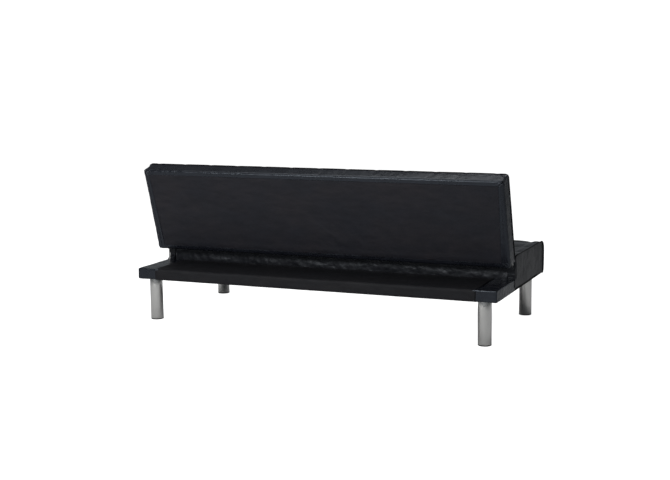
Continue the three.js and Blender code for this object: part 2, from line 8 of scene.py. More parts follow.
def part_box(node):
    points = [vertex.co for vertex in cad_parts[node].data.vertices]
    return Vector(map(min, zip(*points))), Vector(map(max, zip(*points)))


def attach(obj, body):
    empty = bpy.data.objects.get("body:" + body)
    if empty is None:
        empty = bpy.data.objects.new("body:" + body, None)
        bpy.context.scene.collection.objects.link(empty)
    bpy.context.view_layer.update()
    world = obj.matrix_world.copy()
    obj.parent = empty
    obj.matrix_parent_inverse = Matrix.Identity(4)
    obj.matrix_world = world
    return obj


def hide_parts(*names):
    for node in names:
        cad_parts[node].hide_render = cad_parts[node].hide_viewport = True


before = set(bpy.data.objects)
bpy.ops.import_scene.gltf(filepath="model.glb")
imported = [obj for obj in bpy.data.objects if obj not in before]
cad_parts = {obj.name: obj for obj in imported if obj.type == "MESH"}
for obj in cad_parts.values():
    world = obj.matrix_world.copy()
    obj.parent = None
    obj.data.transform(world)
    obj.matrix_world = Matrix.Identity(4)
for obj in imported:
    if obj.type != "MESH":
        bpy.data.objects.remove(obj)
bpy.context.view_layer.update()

scene = bpy.context.scene
COL = scene.collection

# ------------------------------------------------------------------ dimensions
# all in metres, in the frame of the CAD model
TILT = math.radians(17.0)
BY0, BZ0 = 0.1181, 0.3361            # backrest: front bottom edge when upright
BX, BD, BH = 0.8900, 0.0800, 0.4210  # half length, thickness, height
SX, SY0, SY1 = 0.8890, -0.3935, 0.1090
SZ1, SZ0, SZF = 0.3600, 0.2130, 0.2005
PITCH = 0.140                        # quilted squares
cA, sA = math.cos(TILT), math.sin(TILT)


def back_to_world(p):
    """(x, d, s) in the backrest's frame to the row frame."""
    p = np.asarray(p, float)
    return np.stack([p[..., 0], BY0 + p[..., 1] * cA + p[..., 2] * sA,
                     BZ0 - p[..., 1] * sA + p[..., 2] * cA], -1)


# --------------------------------------------------------------------- helpers
def smoothstep(a, b, x):
    t = np.clip((np.asarray(x, float) - a) / (b - a), 0, 1)
    return t * t * (3 - 2 * t)


def fnoise(p, scale, seed=0.0, octaves=3):
    """Fractal noise in -1..1 at each point, deterministic."""
    out = np.empty(len(p))
    for i, (x, y, z) in enumerate(p):
        out[i] = noise.fractal(Vector((x / scale + seed, y / scale - seed * 0.7, z / scale + seed * 1.3)), 1.0, 2.0, octaves)
    return out


def make_mesh(name, verts, faces, smooth=True, mat=None, uv=None):
    me = bpy.data.meshes.new(name)
    me.from_pydata([tuple(map(float, v)) for v in verts], [], [tuple(map(int, f)) for f in faces])
    me.update()
    if uv is not None:
        layer = me.uv_layers.new(name="UVMap")
        idx = np.empty(len(me.loops), np.int64)
        me.loops.foreach_get("vertex_index", idx)
        layer.data.foreach_set("uv", np.asarray(uv, np.float32)[idx].ravel())
    ob = bpy.data.objects.new(name, me)
    COL.objects.link(ob)
    if smooth:
        me.polygons.foreach_set("use_smooth", [True] * len(me.polygons))
    if mat is not None:
        me.materials.append(mat)
    return ob


def box_grid(us, vs, ws):
    """Structured surface of a box. Returns grid indices per vertex and quads facing out."""
    nu, nv, nw = len(us), len(vs), len(ws)
    ids = -np.ones((nu, nv, nw), np.int64)
    ijk = []
    I, J, K = np.meshgrid(np.arange(nu), np.arange(nv), np.arange(nw), indexing="ij")
    on = (I == 0) | (I == nu - 1) | (J == 0) | (J == nv - 1) | (K == 0) | (K == nw - 1)
    ijk = np.stack([I[on], J[on], K[on]], -1)
    ids[on] = np.arange(len(ijk))
    quads = []

    def side(a, flip):
        q = np.stack([a[:-1, :-1], a[1:, :-1], a[1:, 1:], a[:-1, 1:]], -1).reshape(-1, 4)
        quads.append(q[:, ::-1] if flip else q)

    side(ids[:, :, 0], True)
    side(ids[:, :, -1], False)
    side(ids[:, 0, :], False)
    side(ids[:, -1, :], True)
    side(ids[0, :, :], True)
    side(ids[-1, :, :], False)
    return ijk, np.concatenate(quads)


def lines(a, b, step, extra=(), fine=()):
    """Coordinates from a to b with about the given step, through every extra value and
    with finer spacing (start, end, step) where asked."""
    pts = {round(a, 6), round(b, 6)}
    for e in extra:
        if a < e < b:
            pts.add(round(e, 6))
    for f0, f1, st in fine:
        n = max(1, int(round((f1 - f0) / st)))
        for i in range(n + 1):
            v = f0 + (f1 - f0) * i / n
            if a <= v <= b:
                pts.add(round(v, 6))
    pts = sorted(pts)
    keep = [pts[0]]
    for p in pts[1:]:
        if p - keep[-1] > 2e-4:
            keep.append(p)
    out = [keep[0]]
    for p in keep[1:]:
        n = max(1, int(math.ceil((p - out[-1]) / step - 1e-6)))
        base = out[-1]
        for i in range(1, n + 1):
            out.append(base + (p - base) * i / n)
    return np.array(out)


def round_map(p, q):
    """Square-to-disc mapping of p around its clamped point q."""
    v = p - q
    m = np.abs(v).max(-1, keepdims=True)
    n = np.linalg.norm(v, axis=-1, keepdims=True)
    f = np.where(n > 1e-9, m / np.maximum(n, 1e-9), 1.0)
    return q + v * f


def cloth(ob, pin, frames=20, pressure=4.0, shrink=-0.03, cap=0.012, quality=5, stiff=15.0, bend=0.3, mass=0.25, scale=None):
    """Fills a closed or pinned skin with Blender's cloth, then applies the result."""
    me = ob.data
    rest = np.empty(len(me.vertices) * 3)
    me.vertices.foreach_get("co", rest)
    rest = rest.reshape(-1, 3)
    vg = ob.vertex_groups.new(name="pin")
    for w in np.unique(np.round(pin, 2)):
        if w > 0:
            vg.add([int(i) for i in np.nonzero(np.abs(pin - w) < 0.006)[0]], float(w), "REPLACE")
    mod = ob.modifiers.new("Cloth", "CLOTH")
    cs = mod.settings
    cs.quality = quality
    cs.mass = mass
    cs.tension_stiffness = cs.compression_stiffness = stiff
    cs.shear_stiffness = stiff * 0.5
    cs.bending_stiffness = bend
    cs.air_damping = 4.0
    cs.use_pressure = True
    cs.uniform_pressure_force = pressure
    cs.shrink_min = shrink
    cs.vertex_group_mass = "pin"
    cs.effector_weights.gravity = 0.0
    mod.collision_settings.use_collision = False
    mod.point_cache.frame_start = 1
    mod.point_cache.frame_end = frames + 1
    for f in range(1, frames + 1):
        scene.frame_set(f)
    dg = bpy.context.evaluated_depsgraph_get()
    ev = ob.evaluated_get(dg)
    co = np.empty(len(rest) * 3)
    ev.data.vertices.foreach_get("co", co)
    co = co.reshape(-1, 3)
    move = co - rest
    d = np.linalg.norm(move, axis=1, keepdims=True)
    move *= cap * np.tanh(d / cap) / np.maximum(d, 1e-9)     # a soft limit, so that the crowns stay round
    if scale is not None:
        move *= np.asarray(scale)[:, None]
    ob.modifiers.remove(mod)
    ob.vertex_groups.clear()
    me.vertices.foreach_set("co", (rest + move).ravel())
    me.update()
    scene.frame_set(1)


def subdivide(ob, levels=1):
    m = ob.modifiers.new("Subdivision", "SUBSURF")
    m.levels = m.render_levels = levels
    m.subdivision_type = "CATMULL_CLARK"
    return m


def apply_modifiers(ob):
    dg = bpy.context.evaluated_depsgraph_get()
    me = bpy.data.meshes.new_from_object(ob.evaluated_get(dg), preserve_all_data_layers=True, depsgraph=dg)
    old = ob.data
    ob.modifiers.clear()
    ob.data = me
    bpy.data.meshes.remove(old)


def tube(name, path, radius, mat, closed=False, sides=12, up=None):
    """Round tube along a list of points, with parallel-transported sections."""
    P = np.asarray(path, float)
    n = len(P)
    if closed:
        T = np.roll(P, -1, 0) - np.roll(P, 1, 0)
    else:
        T = np.gradient(P, axis=0)
    T /= np.linalg.norm(T, axis=1, keepdims=True)
    ref = np.array(up if up is not None else (0, 0, 1.0))
    if abs(ref @ T[0]) > 0.9:
        ref = np.array((1.0, 0, 0))
    N = np.empty_like(P)
    N[0] = ref - (ref @ T[0]) * T[0]
    N[0] /= np.linalg.norm(N[0])
    for i in range(1, n):
        v = N[i - 1] - (N[i - 1] @ T[i]) * T[i]
        N[i] = v / np.linalg.norm(v)
    B = np.cross(T, N)
    if closed:
        # spread the leftover twist
        v = N[-1] - (N[-1] @ T[0]) * T[0]
        v /= np.linalg.norm(v)
        ang = math.atan2(np.cross(N[0], v) @ T[0], N[0] @ v)
    else:
        ang = 0.0
    r = np.full(n, radius) if np.isscalar(radius) else np.asarray(radius)
    verts, faces = [], []
    for i in range(n):
        tw = -ang * i / n
        for k in range(sides):
            a = 2 * math.pi * k / sides + tw
            verts.append(P[i] + r[i] * (math.cos(a) * N[i] + math.sin(a) * B[i]))
    m = n if closed else n - 1
    for i in range(m):
        for k in range(sides):
            a, b = i * sides + k, i * sides + (k + 1) % sides
            c, d = ((i + 1) % n) * sides + (k + 1) % sides, ((i + 1) % n) * sides + k
            faces.append((a, b, c, d))
    if not closed:
        faces.append(tuple(range(sides))[::-1])
        faces.append(tuple((n - 1) * sides + k for k in range(sides)))
    return make_mesh(name, verts, faces, mat=mat)


def lathe(name, profile, centre, mat, segments=96):
    verts, faces = [], []
    m = len(profile)
    for i in range(segments):
        a = 2 * math.pi * i / segments
        for r, z in profile:
            verts.append((centre[0] + r * math.cos(a), centre[1] + r * math.sin(a), z))
    for i in range(segments):
        for k in range(m - 1):
            a, b = i * m + k, i * m + k + 1
            c, d = ((i + 1) % segments) * m + k + 1, ((i + 1) % segments) * m + k
            faces.append((a, d, c, b))
    ob = make_mesh(name, verts, faces, mat=mat)
    weld(ob, 1e-6)
    return ob


def weld(ob, dist):
    import bmesh
    bm = bmesh.new()
    bm.from_mesh(ob.data)
    bmesh.ops.remove_doubles(bm, verts=bm.verts, dist=dist)
    bm.to_mesh(ob.data)
    bm.free()
    ob.data.update()


# ------------------------------------------------------------------- materials
class Nodes:
    """Short hand for building a material's node tree."""

    def __init__(self, name):
        self.mat = bpy.data.materials.new(name)
        self.mat.use_nodes = True
        self.t = self.mat.node_tree
        self.t.nodes.clear()
        self.out = self.n("ShaderNodeOutputMaterial")
        self.bsdf = self.n("ShaderNodeBsdfPrincipled")
        self.t.links.new(self.bsdf.outputs[0], self.out.inputs[0])
        tc = self.n("ShaderNodeTexCoord")
        self.obj = tc.outputs["Object"]
        self.uv = tc.outputs["UV"]

    def n(self, kind, **kw):
        nd = self.t.nodes.new(kind)
        for k, v in kw.items():
            setattr(nd, k, v)
        return nd

    def link(self, a, b):
        self.t.links.new(a, b)

    def val(self, sock, v):
        if hasattr(v, "is_linked") or hasattr(v, "links"):
            self.link(v, sock)
        else:
            sock.default_value = v

    def math(self, op, a, b=None, c=None, clamp=False):
        nd = self.n("ShaderNodeMath", operation=op, use_clamp=clamp)
        self.val(nd.inputs[0], a)
        if b is not None:
            self.val(nd.inputs[1], b)
        if c is not None:
            self.val(nd.inputs[2], c)
        return nd.outputs[0]

    def mapping(self, vec, scale=(1, 1, 1), loc=(0, 0, 0), rot=(0, 0, 0)):
        nd = self.n("ShaderNodeMapping")
        self.link(vec, nd.inputs[0])
        nd.inputs["Location"].default_value = loc
        nd.inputs["Rotation"].default_value = rot
        nd.inputs["Scale"].default_value = scale
        return nd.outputs[0]

    def noise(self, vec, scale, detail=3.0, rough=0.5, dist=0.0):
        nd = self.n("ShaderNodeTexNoise")
        self.link(vec, nd.inputs["Vector"])
        nd.inputs["Scale"].default_value = scale
        nd.inputs["Detail"].default_value = detail
        nd.inputs["Roughness"].default_value = rough
        nd.inputs["Distortion"].default_value = dist
        return nd.outputs["Fac"]

    def voronoi(self, vec, scale, feature="F1", rand=1.0):
        nd = self.n("ShaderNodeTexVoronoi", feature=feature)
        self.link(vec, nd.inputs["Vector"])
        nd.inputs["Scale"].default_value = scale
        nd.inputs["Randomness"].default_value = rand
        return nd.outputs["Distance"]

    def ramp(self, fac, lo, hi, a=0.0, b=1.0):
        nd = self.n("ShaderNodeMapRange")
        self.link(fac, nd.inputs["Value"])
        nd.inputs["From Min"].default_value = lo
        nd.inputs["From Max"].default_value = hi
        nd.inputs["To Min"].default_value = a
        nd.inputs["To Max"].default_value = b
        return nd.outputs["Result"]

    def mixcol(self, fac, a, b):
        nd = self.n("ShaderNodeMix", data_type="RGBA")
        self.val(nd.inputs[0], fac)
        for sock, v in ((nd.inputs[6], a), (nd.inputs[7], b)):
            if hasattr(v, "links"):
                self.link(v, sock)
            else:
                sock.default_value = (*v, 1.0)
        return nd.outputs[2]

    def bump(self, height, strength, distance, prev=None):
        nd = self.n("ShaderNodeBump")
        self.link(height, nd.inputs["Height"])
        nd.inputs["Strength"].default_value = strength
        nd.inputs["Distance"].default_value = distance
        if prev is not None:
            self.link(prev, nd.inputs["Normal"])
        return nd.outputs[0]

    def set(self, **kw):
        names = {"color": "Base Color", "rough": "Roughness", "metal": "Metallic", "ior": "IOR", "spec": "Specular IOR Level",
                 "sheen": "Sheen Weight", "sheen_rough": "Sheen Roughness", "coat": "Coat Weight", "coat_rough": "Coat Roughness",
                 "normal": "Normal", "aniso": "Anisotropic", "spec_tint": "Specular Tint"}
        for k, v in kw.items():
            s = self.bsdf.inputs[names[k]]
            if hasattr(v, "links"):
                self.link(v, s)
            elif k in ("color", "spec_tint"):
                s.default_value = (*v, 1.0)
            else:
                s.default_value = v
        return self.mat


def leather_material(name, base, dark, rough=(0.34, 0.50), crinkle=0.35, grain=0.22, spec=0.5, tint=(1.0, 1.0, 1.0)):
    m = Nodes(name)
    o = m.obj
    big = m.noise(o, 7.0, 4.0, 0.55)
    fine = m.noise(o, 140.0, 3.0, 0.6)
    cells = m.voronoi(o, 850.0)                       # pebble grain, about 1.2 mm
    creases = m.voronoi(m.mapping(o, (1.0, 1.0, 1.0)), 42.0, "DISTANCE_TO_EDGE")
    col = m.mixcol(m.ramp(big, 0.3, 0.7), dark, base)
    col = m.mixcol(m.math("MULTIPLY", m.ramp(cells, 0.0, 0.75), 0.35), col, tuple(c * 0.55 for c in base))
    r = m.math("ADD", m.ramp(big, 0.3, 0.7, rough[0], rough[1]), m.ramp(fine, 0.3, 0.7, -0.04, 0.04))
    h1 = m.bump(m.noise(o, 26.0, 4.0, 0.55, 0.6), crinkle, 0.004)
    h2 = m.bump(m.ramp(creases, 0.0, 0.12), crinkle * 0.25, 0.0008, h1)
    h3 = m.bump(m.ramp(cells, 0.0, 0.8, 1.0, 0.0), grain, 0.0003, h2)
    return m.set(color=col, rough=r, normal=h3, spec=spec, ior=1.5, spec_tint=tint)


def fabric_material(name, base, tint, rough=0.85, weave=620.0, sheen=0.12, spec=0.3):
    m = Nodes(name)
    o = m.obj
    a = m.noise(m.mapping(o, (1.0, 1.0, 1.7), (0, 0, 0), (0, 0.6, 0)), 5.5, 5.0, 0.58)
    b = m.noise(m.mapping(o, (1.0, 1.0, 3.6), (3.1, 1.7, 0.4), (0, -0.75, 0)), 11.0, 5.0, 0.6)
    fibres = m.noise(m.mapping(o, (1.0, 1.0, 2.2)), 480.0, 3.0, 0.7)
    dots = m.voronoi(o, weave, "F1", 0.35)            # bonded dimples of the cloth
    col = m.mixcol(m.ramp(a, 0.36, 0.64), base, tint)
    col = m.mixcol(m.math("MULTIPLY", m.ramp(b, 0.38, 0.66), 0.6), col, tuple(c * 0.60 for c in base))
    col = m.mixcol(m.math("MULTIPLY", m.ramp(fibres, 0.35, 0.75), 0.35), col, tuple(min(1, c * 1.7) for c in base))
    h1 = m.bump(m.noise(o, 30.0, 3.0, 0.5, 0.3), 0.18, 0.003)
    h2 = m.bump(dots, 0.35, 0.0005, h1)
    h3 = m.bump(fibres, 0.25, 0.0003, h2)
    return m.set(color=col, rough=m.ramp(b, 0.3, 0.7, rough - 0.06, rough + 0.05), normal=h3,
                 sheen=sheen, sheen_rough=0.45, spec=spec)


LEATHER = leather_material("faux_leather_black", (0.0150, 0.0160, 0.0205), (0.0090, 0.0098, 0.0135), (0.30, 0.45), 0.45, 0.20, 0.36, (0.88, 0.93, 1.0))
LEATHER_BACK = leather_material("faux_leather_black_smooth", (0.0150, 0.0165, 0.0240), (0.0100, 0.0110, 0.0165), (0.22, 0.36), 0.38, 0.15, 0.62, (0.80, 0.89, 1.0))
PIPING = leather_material("piping_black", (0.006, 0.006, 0.0075), (0.004, 0.004, 0.005), (0.46, 0.58), 0.12, 0.10, 0.16)
PANEL = fabric_material("nonwoven_black", (0.0120, 0.0130, 0.0205), (0.0205, 0.0178, 0.0230), rough=0.64, sheen=0.03, spec=0.43)
SHELF = fabric_material("shelf_fabric_black", (0.0130, 0.0135, 0.0170), (0.0165, 0.0155, 0.0178), 0.64, 520.0, 0.0, 0.30)
UNDER = fabric_material("dust_sheet_black", (0.012, 0.012, 0.013), (0.015, 0.014, 0.014), 0.9, 500.0, 0.05, 0.2)
THREAD = fabric_material("thread_black", (0.048, 0.053, 0.068), (0.038, 0.042, 0.054), 0.72, 900.0, 0.0, 0.2)


def chrome_material():
    m = Nodes("satin_chrome")
    o = m.obj
    streak = m.noise(m.mapping(o, (1.0, 1.0, 0.03)), 420.0, 3.0, 0.6)
    smudge = m.noise(o, 16.0, 3.0, 0.5)
    col = m.mixcol(m.ramp(smudge, 0.35, 0.7), (0.78, 0.775, 0.755), (0.86, 0.855, 0.83))
    r = m.math("ADD", m.ramp(smudge, 0.3, 0.7, 0.16, 0.24), m.ramp(streak, 0.3, 0.7, -0.03, 0.04))
    return m.set(color=col, rough=r, metal=1.0, normal=m.bump(streak, 0.05, 0.0002), aniso=0.3)


def zinc_material():
    m = Nodes("zinc_steel")
    o = m.obj
    sp = m.voronoi(o, 160.0)
    n1 = m.noise(o, 60.0, 3.0, 0.6)
    col = m.mixcol(m.ramp(sp, 0.0, 0.8), (0.52, 0.53, 0.55), (0.62, 0.62, 0.60))
    return m.set(color=col, rough=m.ramp(n1, 0.3, 0.7, 0.28, 0.45), metal=1.0, normal=m.bump(n1, 0.06, 0.0004))


def plastic_material():
    m = Nodes("black_plastic")
    o = m.obj
    n1 = m.noise(o, 900.0, 2.0, 0.5)
    n2 = m.noise(o, 30.0, 3.0, 0.5)
    col = m.mixcol(m.ramp(n2, 0.3, 0.7), (0.010, 0.010, 0.011), (0.016, 0.016, 0.017))
    return m.set(color=col, rough=m.ramp(n2, 0.3, 0.7, 0.42, 0.58), normal=m.bump(n1, 0.2, 0.0003))


def wood_material(name, a, b, axis=(0.06, 1.0, 1.0)):
    m = Nodes(name)
    o = m.obj
    v = m.mapping(o, axis)
    g = m.noise(v, 60.0, 4.0, 0.6, 1.2)
    w = m.n("ShaderNodeTexWave", wave_type="BANDS", bands_direction="DIAGONAL")
    m.link(v, w.inputs["Vector"])
    w.inputs["Scale"].default_value = 28.0
    w.inputs["Distortion"].default_value = 7.0
    w.inputs["Detail"].default_value = 3.0
    w.inputs["Detail Scale"].default_value = 1.4
    col = m.mixcol(w.outputs["Fac"], a, b)
    col = m.mixcol(m.math("MULTIPLY", g, 0.4), col, tuple(c * 0.6 for c in a))
    return m.set(color=col, rough=m.ramp(g, 0.3, 0.7, 0.6, 0.78), normal=m.bump(g, 0.2, 0.0006))


CHROME = chrome_material()
ZINC = zinc_material()
PLASTIC = plastic_material()
PINE = wood_material("pine", (0.52, 0.36, 0.19), (0.62, 0.46, 0.27))
PLY = wood_material("plywood", (0.45, 0.31, 0.17), (0.53, 0.39, 0.23), (0.3, 0.05, 1.0))

# CAD nodes that stay as they are get a better material
for name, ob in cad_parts.items():
    if name.startswith(("hinge_", "leg_stud")) or "bolt" in name:
        mat = ZINC
    elif name == "base_deck":
        mat = PLY
    elif name.startswith(("base_rail", "base_cross", "corner_block", "seat_rail", "back_rail", "back_stile")):
        mat = PINE
    else:
        continue
    ob.data.materials.clear()
    ob.data.materials.append(mat)

# ------------------------------------------------------------------------ legs
for side, sx in (("left", 1), ("right", -1)):
    for end in ("rear", "front"):
        lo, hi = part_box(f"leg_{end}_{side}")
        c = ((lo.x + hi.x) / 2, (lo.y + hi.y) / 2)
        z0, z1 = lo.z, hi.z
        r = 0.030
        prof = [(0.0285, z0 + 0.0004), (0.0293, z0), (0.0298, z0 + 0.0003), (r, z0 + 0.0012), (r, z0 + 0.05), (r, z0 + 0.10), (r, z0 + 0.15),
                (r, z1 - 0.0012), (0.0297, z1 - 0.0003), (0.0290, z1), (0.0100, z1), (0.0045, z1),
                (0.0045, z1 - 0.004), (0.0278, z1 - 0.004), (0.0278, z0 + 0.0012), (0.0285, z0 + 0.0004)]
        leg = lathe(f"chrome_leg_{end}_{side}", prof, c, CHROME)
        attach(leg, "base"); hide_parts(f"leg_{end}_{side}")
        t = 0.005
        cap = [(0.0, 0.0008), (0.020, 0.0008), (0.0215, 0.0), (0.0270, 0.0), (0.0288, 0.0004), (0.0298, 0.0014), (0.0302, 0.0028),
               (0.0302, t - 0.0006), (0.0299, t), (0.0277, t), (0.0275, t + 0.0004), (0.0275, t + 0.013), (0.0262, t + 0.0155), (0.0250, t + 0.016),
               (0.0250, t + 0.003), (0.0, t + 0.002)]
        foot = lathe(f"foot_{end}_{side}", cap, c, PLASTIC)
        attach(foot, "base"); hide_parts(f"foot_cap_{end}_{side}")

# ---------------------------------------------------------------- the platform
REAR = 0.3967
TOP, BOT = 0.2500, 0.2000


def arc_pts(cy, cz, r, a0, a1, n):
    return [(cy + r * math.cos(a0 + (a1 - a0) * i / n), cz + r * math.sin(a0 + (a1 - a0) * i / n)) for i in range(n + 1)]


def resample(pts, step):
    P = np.asarray(pts, float)
    L = np.r_[0, np.cumsum(np.linalg.norm(np.diff(P, axis=0), axis=1))]
    n = int(math.ceil(L[-1] / step))
    t = np.linspace(0, L[-1], n + 1)
    return np.stack([np.interp(t, L, P[:, k]) for k in range(P.shape[1])], -1), t


def shelf_profile(grow=0.0):
    g = grow
    return ([(0.1072, TOP + g), (REAR - 0.005, TOP + g)]
            + arc_pts(REAR - 0.005, TOP - 0.005, 0.005 + g, math.pi / 2, 0, 5)
            + arc_pts(REAR - 0.004, BOT + 0.004, 0.004 + g, 0, -math.pi / 2, 5)
            + [(REAR - 0.040, BOT - g)])


def shelf_sheet(name, x0, x1, grow, mat, wob, seed, step=0.008, slant=0.0):
    prof, t = resample(shelf_profile(grow), step * 0.7)
    nrm = np.gradient(prof, axis=0)
    nrm = np.stack([-nrm[:, 1], nrm[:, 0]], -1)
    nrm /= np.linalg.norm(nrm, axis=1, keepdims=True)
    xs = np.linspace(x0, x1, int(round((x1 - x0) / step)) + 1)
    V, UV = [], []
    for x in xs:
        for (y, z), (ny, nz), tt in zip(prof, nrm, t):
            V.append((x, y, z, ny, nz)); UV.append((x, tt))
    V = np.array(V)
    P = V[:, :3].copy()
    n1 = fnoise(P, 0.19, seed, 3)
    n2 = fnoise(P * np.array([1.0, 2.2, 2.2]), 0.055, seed + 5, 2)
    flat = smoothstep(REAR - 0.012, REAR - 0.05, P[:, 1])
    h = wob * (0.8 * n1 + 0.35 * n2)
    # the cloth is a little slack on top and bows out on the rear face
    crown = 0.0012 * np.sin(np.clip((P[:, 1] - 0.11) / (REAR - 0.11), 0, 1) * math.pi)
    P[:, 1] += V[:, 3] * (h * 0.7 + 0.0008)
    P[:, 2] += V[:, 4] * (h + crown + 0.0006) + 0.0008 * (1 - flat) * n1
    m = len(prof)
    F = []
    for i in range(len(xs) - 1):
        for k in range(m - 1):
            a = i * m + k
            F.append((a, a + 1, a + m + 1, a + m))
    ob = make_mesh(name, P, F, mat=mat, uv=UV)
    s = ob.modifiers.new("Solidify", "SOLIDIFY")
    s.thickness = 0.0011
    s.offset = -1.0
    apply_modifiers(ob)
    return ob


shelf = shelf_sheet("shelf_cloth", -0.792, 0.792, 0.0, SHELF, 0.0011, 3.0, 0.009)
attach(shelf, "base"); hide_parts("shelf_fabric")

# faux-leather wraps over the shelf's ends: a soft-edged cap each
for side, sx in (("left", 1), ("right", -1)):
    xi, xo = 0.776, 0.8862
    us = lines(xi, xo, 0.006, (), ((xo - 0.008, xo, 0.002), (xi, xi + 0.006, 0.0015)))
    vs = lines(0.1072, REAR, 0.007, (), ((REAR - 0.010, REAR, 0.002),))
    ws = lines(BOT - 0.0004, TOP + 0.0011, 0.006, (), ((BOT, BOT + 0.006, 0.002), (TOP - 0.008, TOP, 0.002)))
    ijk, quads = box_grid(us, vs, ws)
    P = np.stack([us[ijk[:, 0]], vs[ijk[:, 1]], ws[ijk[:, 2]]], -1)
    r = 0.0055
    q = np.stack([np.minimum(P[:, 0], xo - r), np.minimum(P[:, 1], REAR + 0.0008 - r),
                  np.clip(P[:, 2], BOT + r, TOP + 0.0011 - r)], -1)
    # only the outer and rear edges are rounded
    edge = (P[:, 0] > xo - r) | (P[:, 1] > REAR - r)
    q[~edge] = P[~edge]
    P2 = round_map(P, q)
    P2[:, 1] = np.where(P[:, 1] > REAR - 0.02, P2[:, 1] + 0.0008, P2[:, 1])
    # the inner edge slants inwards towards the seat
    slant = 0.014 * (REAR - P2[:, 1]) / (REAR - 0.11)
    P2[:, 0] -= slant * smoothstep(xo - 0.02, xi, P[:, 0])
    N = np.zeros_like(P2)
    N[:, 0] = smoothstep(xo - 0.004, xo, P[:, 0])
    N[:, 1] = smoothstep(REAR - 0.004, REAR, P[:, 1])
    N[:, 2] = smoothstep(TOP - 0.004, TOP, P[:, 2]) - smoothstep(BOT + 0.004, BOT, P[:, 2])
    ln = np.linalg.norm(N, axis=1, keepdims=True)
    N = N / np.maximum(ln, 1e-6)
    W = P2.copy(); W[:, 0] *= sx
    wr = 0.0012 * fnoise(W * np.array([1.0, 1.0, 1.0]), 0.050, 11.0 + sx, 3) + np.where(N[:, 2] > 0.5, 0.0005, 0.0013) * fnoise(W * np.array([0.45, 1.6, 2.6]), 0.03, 4.0 + sx, 2)
    # tension folds that run in from the corner
    dx, dy = xo - P2[:, 0], REAR - P2[:, 1]
    rho = np.hypot(dx, dy) + 1e-6
    th = np.arctan2(dy, dx)
    wr += 0.0013 * np.sin(th * 9 + 0.7) * np.exp(-rho / 0.045) * (N[:, 2] > 0.3)
    inner = smoothstep(xi, xi + 0.010, P[:, 0])
    wr = np.maximum(wr, -0.0007)                      # the deck and rails stay covered
    P2 += N * (wr * (0.35 + 0.65 * inner))[:, None]
    P2[:, 2] -= (1 - inner) * 0.0004 * np.sign(N[:, 2])
    P2[:, 0] *= sx
    # the cloth covers the top, the end, the rear face and a short return below
    lim_lo = BOT + 0.0012
    fc = P[quads].mean(1)
    top = np.all(ijk[quads][:, :, 2] == len(ws) - 1, axis=1)
    rear = np.all(ijk[quads][:, :, 1] == len(vs) - 1, axis=1)
    outer = np.all(ijk[quads][:, :, 0] == len(us) - 1, axis=1)
    below = np.all(ijk[quads][:, :, 2] == 0, axis=1) & ((fc[:, 0] > xo - 0.030) | (fc[:, 1] > REAR - 0.030))
    quads = quads[top | rear | outer | below]
    used, inv = np.unique(quads, return_inverse=True)
    quads = inv.reshape(-1, 4)
    P2 = P2[used]
    if sx < 0:
        quads = quads[:, ::-1]
    wrap = make_mesh(f"end_wrap_{side}", P2, quads, mat=LEATHER_BACK)
    subdivide(wrap)
    sm = wrap.modifiers.new("Solidify", "SOLIDIFY")
    sm.thickness = 0.0012
    sm.offset = -1.0
    apply_modifiers(wrap)
    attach(wrap, "base"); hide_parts(f"shelf_end_wrap_{side}")


# ----------------------------------------------------------- the under-sheet
def under_sheet():
    legs = [(sx * 0.818, y) for sx in (1, -1) for y in (0.3467, -0.3393)]
    x1, y0, y1 = 0.8848, -0.3880, 0.3560
    us = lines(-x1, x1, 0.016, [c[0] + e for c in legs for e in (-0.006, 0.006)])
    vs = lines(y0, y1, 0.014, [c[1] + e for c in legs for e in (-0.006, 0.006)])
    rise = 0.0150
    V, F, idx = [], [], {}

    def vert(i, j):
        if (i, j) not in idx:
            x, y = us[i], vs[j]
            z = 0.2003
            if not any(math.hypot(x - c[0], y - c[1]) < 0.05 for c in legs):
                dx = min(x1 - abs(x), 0.05) / 0.05
                z -= 0.0016 * dx * (0.5 + 0.5 * noise.noise(Vector((x * 4, y * 4, 2.0))))
            idx[i, j] = len(V)
            V.append((x, y, z))
        return idx[i, j]

    for i in range(len(us) - 1):
        for j in range(len(vs) - 1):
            cx, cy = (us[i] + us[i + 1]) / 2, (vs[j] + vs[j + 1]) / 2
            if any(abs(cx - c[0]) < 0.006 and abs(cy - c[1]) < 0.006 for c in legs):
                continue
            F.append((vert(i, j), vert(i, j + 1), vert(i + 1, j + 1), vert(i + 1, j)))
    # turned up over the rails' lower edges at both ends
    for i, sgn in ((0, -1), (len(us) - 1, 1)):
        rows = []
        for j in range(len(vs)):
            base = vert(i, j)
            row = [base]
            for k in (1, 2, 3):
                V.append((sgn * 0.8850, vs[j], 0.2003 + rise * k / 3))
                row.append(len(V) - 1)
            rows.append(row)
        for a, b in zip(rows[:-1], rows[1:]):
            for k in range(3):
                q = (a[k], b[k], b[k + 1], a[k + 1])
                F.append(q if sgn > 0 else q[::-1])
    ob = make_mesh("under_cloth", V, F, mat=UNDER)
    area = sum(p.area for p in ob.data.polygons)
    m = ob.modifiers.new("Solidify", "SOLIDIFY")
    m.thickness = 0.0005
    m.offset = 0.0
    apply_modifiers(ob)
    return ob, area


under, under_area = under_sheet()
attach(under, "base"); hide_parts("base_dust_sheet")


# ---------------------------------------------------------------- seat cushion
def pillow(u, t, us, ts):
    """0 on every stitched line, 1 in the middle of each quilted square."""
    def f(v, cuts):
        cuts = np.asarray(cuts)
        i = np.clip(np.searchsorted(cuts, v, side="right") - 1, 0, len(cuts) - 2)
        w = (v - cuts[i]) / (cuts[i + 1] - cuts[i])
        return np.sin(np.clip(w, 0, 1) * math.pi)
    return np.clip(f(u, us) * f(t, ts), 0, 1) ** 0.62


